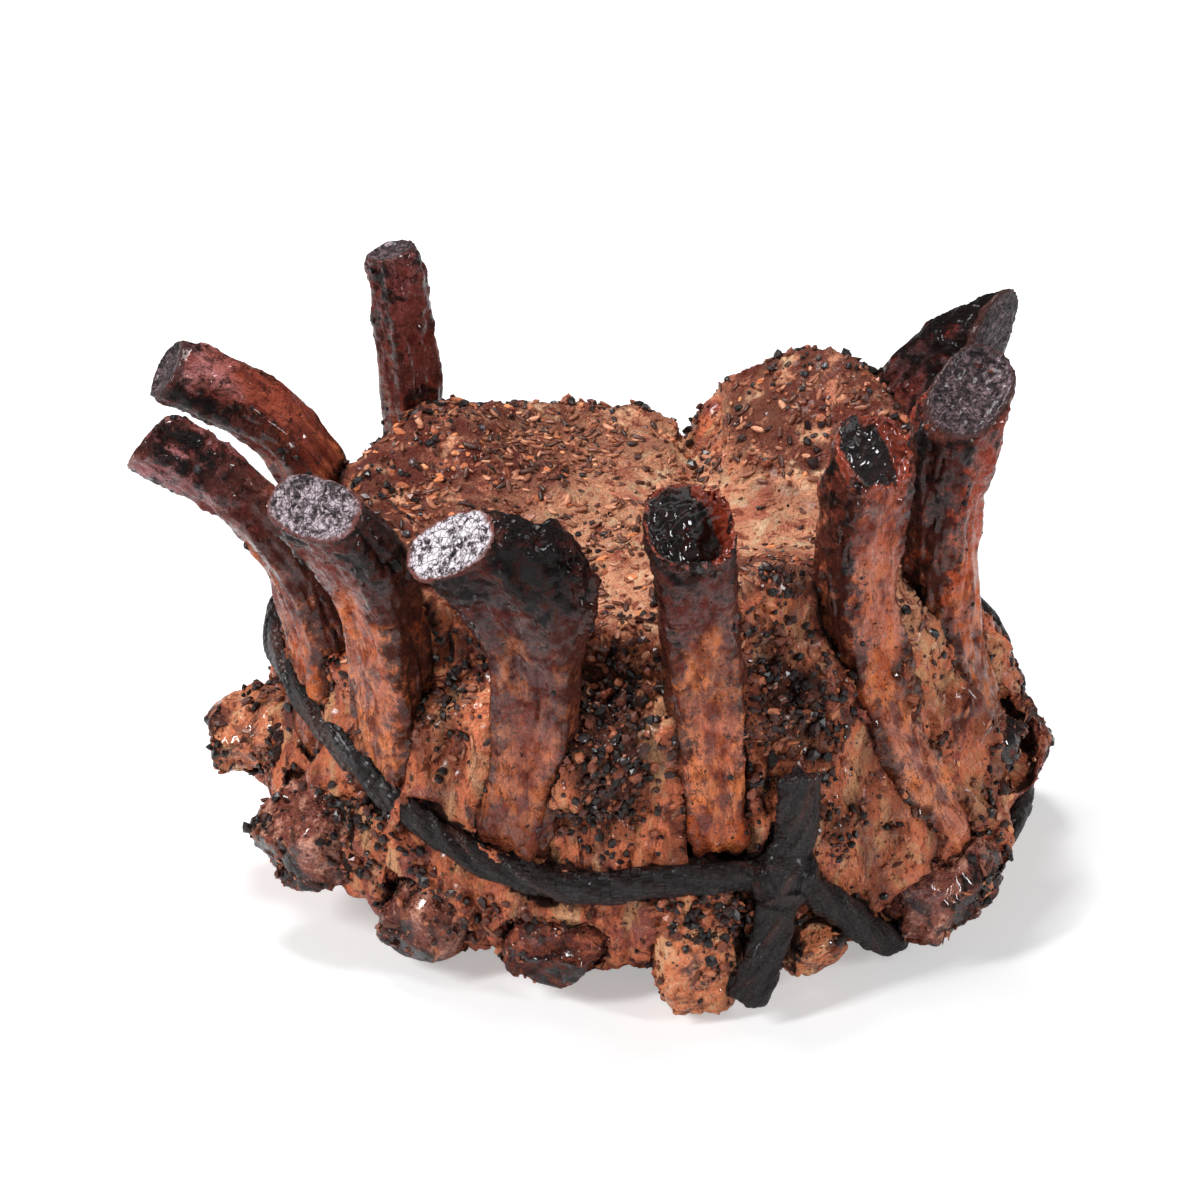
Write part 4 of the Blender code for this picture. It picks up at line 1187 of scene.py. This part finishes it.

# %% [markdown]
# ## Meat, knuckle and casing finishes
# The top of the loin is tan to orange under its spice. The walls are red brown with orange fat, and painted
# shade makes them black where they fold. The knuckles are simpler, with a greasier fat, a burnt outer end and
# painted shade in their hollows. The casing is a brown black leather whose small pebbles shine a little, with
# painted shade where it is shut in.

# %% Meat finish
made, tree, shader = finish("roasted_loin")
place = object_mm(tree)
top, air = read(tree, "top_crust"), read(tree, "open_air")
crust = use(tree, "mottle", Color=srgb(222, 144, 110), Dark=srgb(128, 62, 46), Light=srgb(230, 172, 136),
            Plum=srgb(184, 104, 80), Vector=place, Scale=0.17)
wall = use(tree, "mottle", Color=srgb(204, 112, 76), Dark=srgb(84, 34, 24), Light=srgb(226, 152, 110),
           Plum=srgb(140, 68, 60), Vector=read(tree, "hang_place", "Vector"), Scale=0.15)
colour = mix(tree, top, wall["Color"], crust["Color"])
scorch = between(tree, noise(tree, read(tree, "hang_place", "Vector"), 0.085, 6.0, 0.68), 0.49, 0.60, 0.0, 0.58)
colour = mix(tree, calc(tree, "MULTIPLY", scorch, between(tree, top, 1.0, 0.0)), colour, srgb(70, 26, 18))
spot = read(tree, "burnt_place")
left = between(tree, add(tree, "SeparateXYZ", None, Vector=place).outputs[0], -4.0, -44.0, 0.0, 0.75)
left = calc(tree, "MULTIPLY", left, between(tree, noise(tree, place, 0.14, 5.0, 0.66), 0.40, 0.55))
colour = mix(tree, calc(tree, "MULTIPLY", left, top), colour, srgb(96, 46, 34))
raised = between(tree, add(tree, "SeparateXYZ", None, Vector=place).outputs[2], 87.0, 97.0, 0.0, 0.92)
raised = calc(tree, "MULTIPLY", raised, between(tree, noise(tree, place, 0.12, 6.0, 0.65), 0.34, 0.50))
colour = mix(tree, calc(tree, "MULTIPLY", raised, top), colour, srgb(84, 34, 26))
colour = mix(tree, between(tree, spot, 0.15, 0.8, 0.0, 0.85), colour, srgb(40, 17, 12))
# painted shade: the colour goes nearly black where few rays got away
colour = mix(tree, between(tree, air, 0.62, 0.08, 0.0, 0.95), colour, srgb(30, 11, 8))
# the char mask is partly painted shade, growing where few rays got away, and partly the burnt places
char_and_shade = calc(tree, "ADD", between(tree, air, 0.5, 0.05, 0.0, 0.30), calc(tree, "MULTIPLY", top, -0.12))
char_and_shade = calc(tree, "ADD", char_and_shade, calc(tree, "MULTIPLY", spot, 0.22))
char = use(tree, "char_crust", Color=colour, Mask=calc(tree, "ADD", char_and_shade, 0.12), Vector=place)
grease = use(tree, "grease_film", Vector=place, Amount=0.4)
tree.links.new(char["Color"], shader.inputs["Base Color"])
tree.links.new(grease["Roughness"], shader.inputs["Roughness"])
wet = calc(tree, "MULTIPLY", grease["Coat"], between(tree, top, 0.0, 1.0, 0.9, 0.22))
tree.links.new(wet, shader.inputs["Coat Weight"])
shader.inputs["Coat Roughness"].default_value = 0.2
height = calc(tree, "ADD", crust["Height"], noise(tree, place, 0.8, 4.0, 0.72))
relief(tree, shader, height, 0.0019)
meat.data.materials.append(made)
print(made.name, len(tree.nodes), "nodes")

# %% Knuckle finishes


def knuckle_finish(name, colour, light, end_dark, amount):
    made, tree, shader = finish(name)
    place = object_mm(tree)
    air, out = read(tree, "open_air"), read(tree, "out_share")
    skin = use(tree, "mottle", Color=colour, Dark=srgb(42, 17, 11), Light=light, Plum=srgb(78, 38, 36),
               Vector=place, Scale=0.13)
    # painted shade: the skin goes dark, and the char grows, where few rays got away
    tint = mix(tree, between(tree, air, 0.55, 0.1, 0.0, 0.9), skin["Color"], srgb(32, 14, 10))
    char_and_shade = calc(tree, "ADD", between(tree, out, 0.72, 1.02, 0.0, end_dark), between(tree, air, 0.5, 0.1, 0.06, 0.3))
    char = use(tree, "char_crust", Color=tint, Mask=char_and_shade, Vector=place)
    grease = use(tree, "grease_film", Vector=place, Amount=amount)
    tree.links.new(char["Color"], shader.inputs["Base Color"])
    tree.links.new(grease["Roughness"], shader.inputs["Roughness"])
    tree.links.new(grease["Coat"], shader.inputs["Coat Weight"])
    shader.inputs["Coat Roughness"].default_value = 0.09
    height = calc(tree, "ADD", skin["Height"], calc(tree, "MULTIPLY", char["Height"], 1.4))
    relief(tree, shader, height, 0.0021)
    return made


KNUCKLE_FINISHES = {
    "tan": knuckle_finish("knuckle_tan", srgb(190, 110, 76), srgb(224, 158, 120), 0.5, 0.5),
    "pale": knuckle_finish("knuckle_pale", srgb(122, 64, 50), srgb(200, 142, 120), 0.5, 0.6),
    "dark": knuckle_finish("knuckle_dark", srgb(94, 43, 31), srgb(152, 80, 56), 0.45, 0.55),
    "orange": knuckle_finish("knuckle_orange", srgb(204, 118, 78), srgb(228, 156, 116), 0.3, 0.5),
}
KNUCKLE_OF = {1: "tan", 2: "pale", 3: "pale", 4: "dark", 5: "orange", 6: "orange", 7: "pale", 8: "pale", 9: "dark",
              10: "tan", 11: "dark", 12: "pale", 13: "tan", 14: "dark"}
for name, lump in knuckles.items():
    lump.data.materials.append(KNUCKLE_FINISHES[KNUCKLE_OF[int(name[8:])]])
print("knuckle finishes:", list(KNUCKLE_FINISHES))

# %% Casing finish
made, tree, shader = finish("dried_black_casing")
place = read(tree, "strip_place", "Vector")
air = read(tree, "open_air")
pebble = noise(tree, stretched(tree, place, (1, 4, 1)), 1.3, 4.0, 0.68, 0.5)
wrinkle = noise(tree, place, 0.5, 4.0, 0.6, 1.2)
tint = ramp(tree, wrinkle, [(0.3, srgb(6, 3, 3)), (0.52, srgb(20, 11, 11)), (0.72, srgb(36, 22, 22))])
tint = mix(tree, between(tree, noise(tree, place, 0.3, 5.0), 0.55, 0.66, 0.0, 0.6), tint, srgb(60, 30, 22))
# painted shade: darker where the casing is shut in and few rays got away
tree.links.new(mix(tree, between(tree, air, 0.6, 0.1, 0.0, 0.7), tint, srgb(12, 7, 6)), shader.inputs["Base Color"])
tree.links.new(between(tree, pebble, 0.35, 0.62, 0.5, 0.16), shader.inputs["Roughness"])
shader.inputs["Specular IOR Level"].default_value = 0.4
shader.inputs["Coat Weight"].default_value, shader.inputs["Coat Roughness"].default_value = 0.15, 0.14
height = calc(tree, "ADD", calc(tree, "MULTIPLY", wrinkle, 1.6), calc(tree, "MULTIPLY", pebble, 0.5))
relief(tree, shader, height, 0.0016)
tie.data.materials.append(made)
print(made.name, len(tree.nodes), "nodes")

# %% [markdown]
# ## Spice finishes
# Each seed and crumb carries one random tone, stored on its points. The tone picks its colour from a row, so
# that neighbours differ, and a fine noise keeps every one from being flat. A row ends with how rough and how
# glossy the kind is.

# %% One recipe for all the toppings


def spice_finish(name, stops, roughness, coat):
    made, tree, shader = finish(name)
    place = object_mm(tree)
    grain = noise(tree, place, 1.8, 4.0)
    pick = calc(tree, "ADD", read(tree, "tone"), calc(tree, "MULTIPLY", calc(tree, "SUBTRACT", grain, 0.5), 0.35))
    tree.links.new(ramp(tree, pick, stops), shader.inputs["Base Color"])
    tree.links.new(between(tree, grain, 0.3, 0.7, roughness - 0.12, roughness + 0.12), shader.inputs["Roughness"])
    shader.inputs["Coat Weight"].default_value = coat
    shader.inputs["Coat Roughness"].default_value = 0.2
    relief(tree, shader, grain, 0.0005, 0.6)
    return made


BLACKS = [(0.0, srgb(12, 10, 11)), (0.6, srgb(30, 25, 27)), (0.85, srgb(48, 40, 42)), (1.0, srgb(80, 52, 44))]
SPICES = {
    "caraway_seeds": ([(0.0, srgb(34, 18, 14)), (0.35, srgb(78, 42, 30)), (0.6, srgb(112, 66, 46)),
                       (0.85, srgb(138, 86, 62)), (1.0, srgb(176, 122, 92))], 0.45, 0.3),
    "cracked_pepper": (BLACKS, 0.4, 0.5),
    "bone_pepper": (BLACKS, 0.42, 0.25),
    "brown_grits": ([(0.0, srgb(34, 16, 11)), (0.35, srgb(98, 50, 34)), (0.7, srgb(124, 66, 44)),
                     (1.0, srgb(164, 102, 74))], 0.4, 0.45),
    "wet_marrow_grains": ([(0.0, srgb(6, 4, 4)), (0.8, srgb(18, 9, 8)), (1.0, srgb(90, 34, 18))], 0.4, 1.0),
    "dark_marrow_grains": ([(0.0, srgb(10, 7, 7)), (0.7, srgb(30, 22, 24)), (1.0, srgb(96, 80, 84))], 0.4, 0.9),
    "onion_flakes": ([(0.0, srgb(92, 42, 24)), (0.4, srgb(144, 78, 46)), (0.75, srgb(180, 108, 66)),
                      (1.0, srgb(196, 134, 92))], 0.4, 0.3),
    "burnt_crumbs": ([(0.0, srgb(12, 7, 7)), (0.5, srgb(30, 17, 15)), (0.7, srgb(72, 36, 26)),
                      (0.88, srgb(118, 62, 42)), (1.0, srgb(164, 98, 66))], 0.4, 0.45),
    "torn_shreds": ([(0.0, srgb(46, 24, 18)), (0.5, srgb(104, 54, 34)), (1.0, srgb(176, 104, 66))], 0.4, 0.4),
}
for thing in toppings:
    thing.data.materials.append(spice_finish(thing.name + "_finish", *SPICES[thing.name]))
print("spice finishes:", len(SPICES))

# %% [markdown]
# ## What each piece stands for
# A piece rides on the part's body, and the solid it stands for is hidden. The toppings ride on the body
# too.

# %% Riding and replacing
for name, bone in bones.items():
    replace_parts(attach(bone, "root"), name)
for name, lump in knuckles.items():
    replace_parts(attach(lump, "root"), name)
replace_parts(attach(meat, "root"), "meat")
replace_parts(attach(tie, "root"), "tie")
for thing in toppings:
    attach(thing, "root")

# %% [markdown]
# ## Floor, light and camera
# The roast stands on white paper under three small softboxes: one overhead and a little behind, one at the
# left front, and a weaker one at the right. Small lights give the fat short, bright glints, and a dim white
# room fills the shadows. The camera looks down at the roast by thirty degrees through a long lens.

# %% Floor
bpy.ops.object.select_all(action="DESELECT")
bpy.ops.mesh.primitive_plane_add(size=8, location=(0, 0, -0.0002))
paper = bpy.context.view_layer.objects.active
paper.name = "white_paper"
made, tree, shader = finish("white_paper")
shader.inputs["Base Color"].default_value = (0.8, 0.8, 0.8, 1)
shader.inputs["Roughness"].default_value = 0.9
shader.inputs["Emission Color"].default_value = (1, 1, 1, 1)
seen = add(tree, "LightPath").outputs["Is Camera Ray"]
tree.links.new(calc(tree, "MULTIPLY", seen, 0.40), shader.inputs["Emission Strength"])
paper.data.materials.append(made)
paper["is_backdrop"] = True
print("floor at", paper.location[2])

# %% Lights


def softbox(name, place, size, watts, aim=(0, 0, 0.06), colour=(1, 1, 1)):
    bpy.ops.object.light_add(type="AREA", location=place)
    light = bpy.context.view_layer.objects.active
    light.name = name
    light.data.shape, light.data.size, light.data.size_y = "RECTANGLE", *size
    light.data.energy, light.data.color = watts, colour
    light.rotation_euler = (Vector(aim) - Vector(place)).to_track_quat("-Z", "Y").to_euler()
    return light


softbox("overhead_softbox", (-0.20, 0.22, 1.0), (0.40, 0.30), 9.5)
softbox("left_softbox", (-0.80, -0.50, 0.75), (0.16, 0.40), 9, colour=(0.97, 0.98, 1))
softbox("right_softbox", (0.85, -0.55, 0.55), (0.10, 0.36), 5, colour=(0.97, 0.98, 1))
world = bpy.data.worlds.new("white_room")
bpy.context.scene.world = world
world.use_nodes = True
tree = world.node_tree
back = tree.nodes["Background"]
back.inputs["Color"].default_value = (1, 1, 1, 1)
seen = add(tree, "LightPath").outputs["Is Camera Ray"]
tree.links.new(between(tree, seen, 0.0, 1.0, 0.12, 1.3), back.inputs["Strength"])
bpy.context.scene.view_settings.view_transform = "Standard"
bpy.context.scene.view_settings.look = "None"

# %% Camera
LOOK_AT, DISTANCE, DOWN = Vector((-0.0097, -0.010, 0.074)), 0.80, math.radians(30)
bpy.ops.object.camera_add(location=LOOK_AT + DISTANCE * Vector((0, -math.cos(DOWN), math.sin(DOWN))),
                          rotation=(math.pi / 2 - DOWN, 0, 0))
camera = bpy.context.view_layer.objects.active
camera.data.lens, camera.data.sensor_width = 104, 36
camera.data.clip_start, camera.data.clip_end = 0.05, 20
bpy.context.scene.camera = camera
print("camera at", [round(v, 3) for v in camera.location])

# %% Size of the finished roast
low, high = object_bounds()
print("size in mm:", [round((b - a) / MM, 1) for a, b in zip(low, high)])
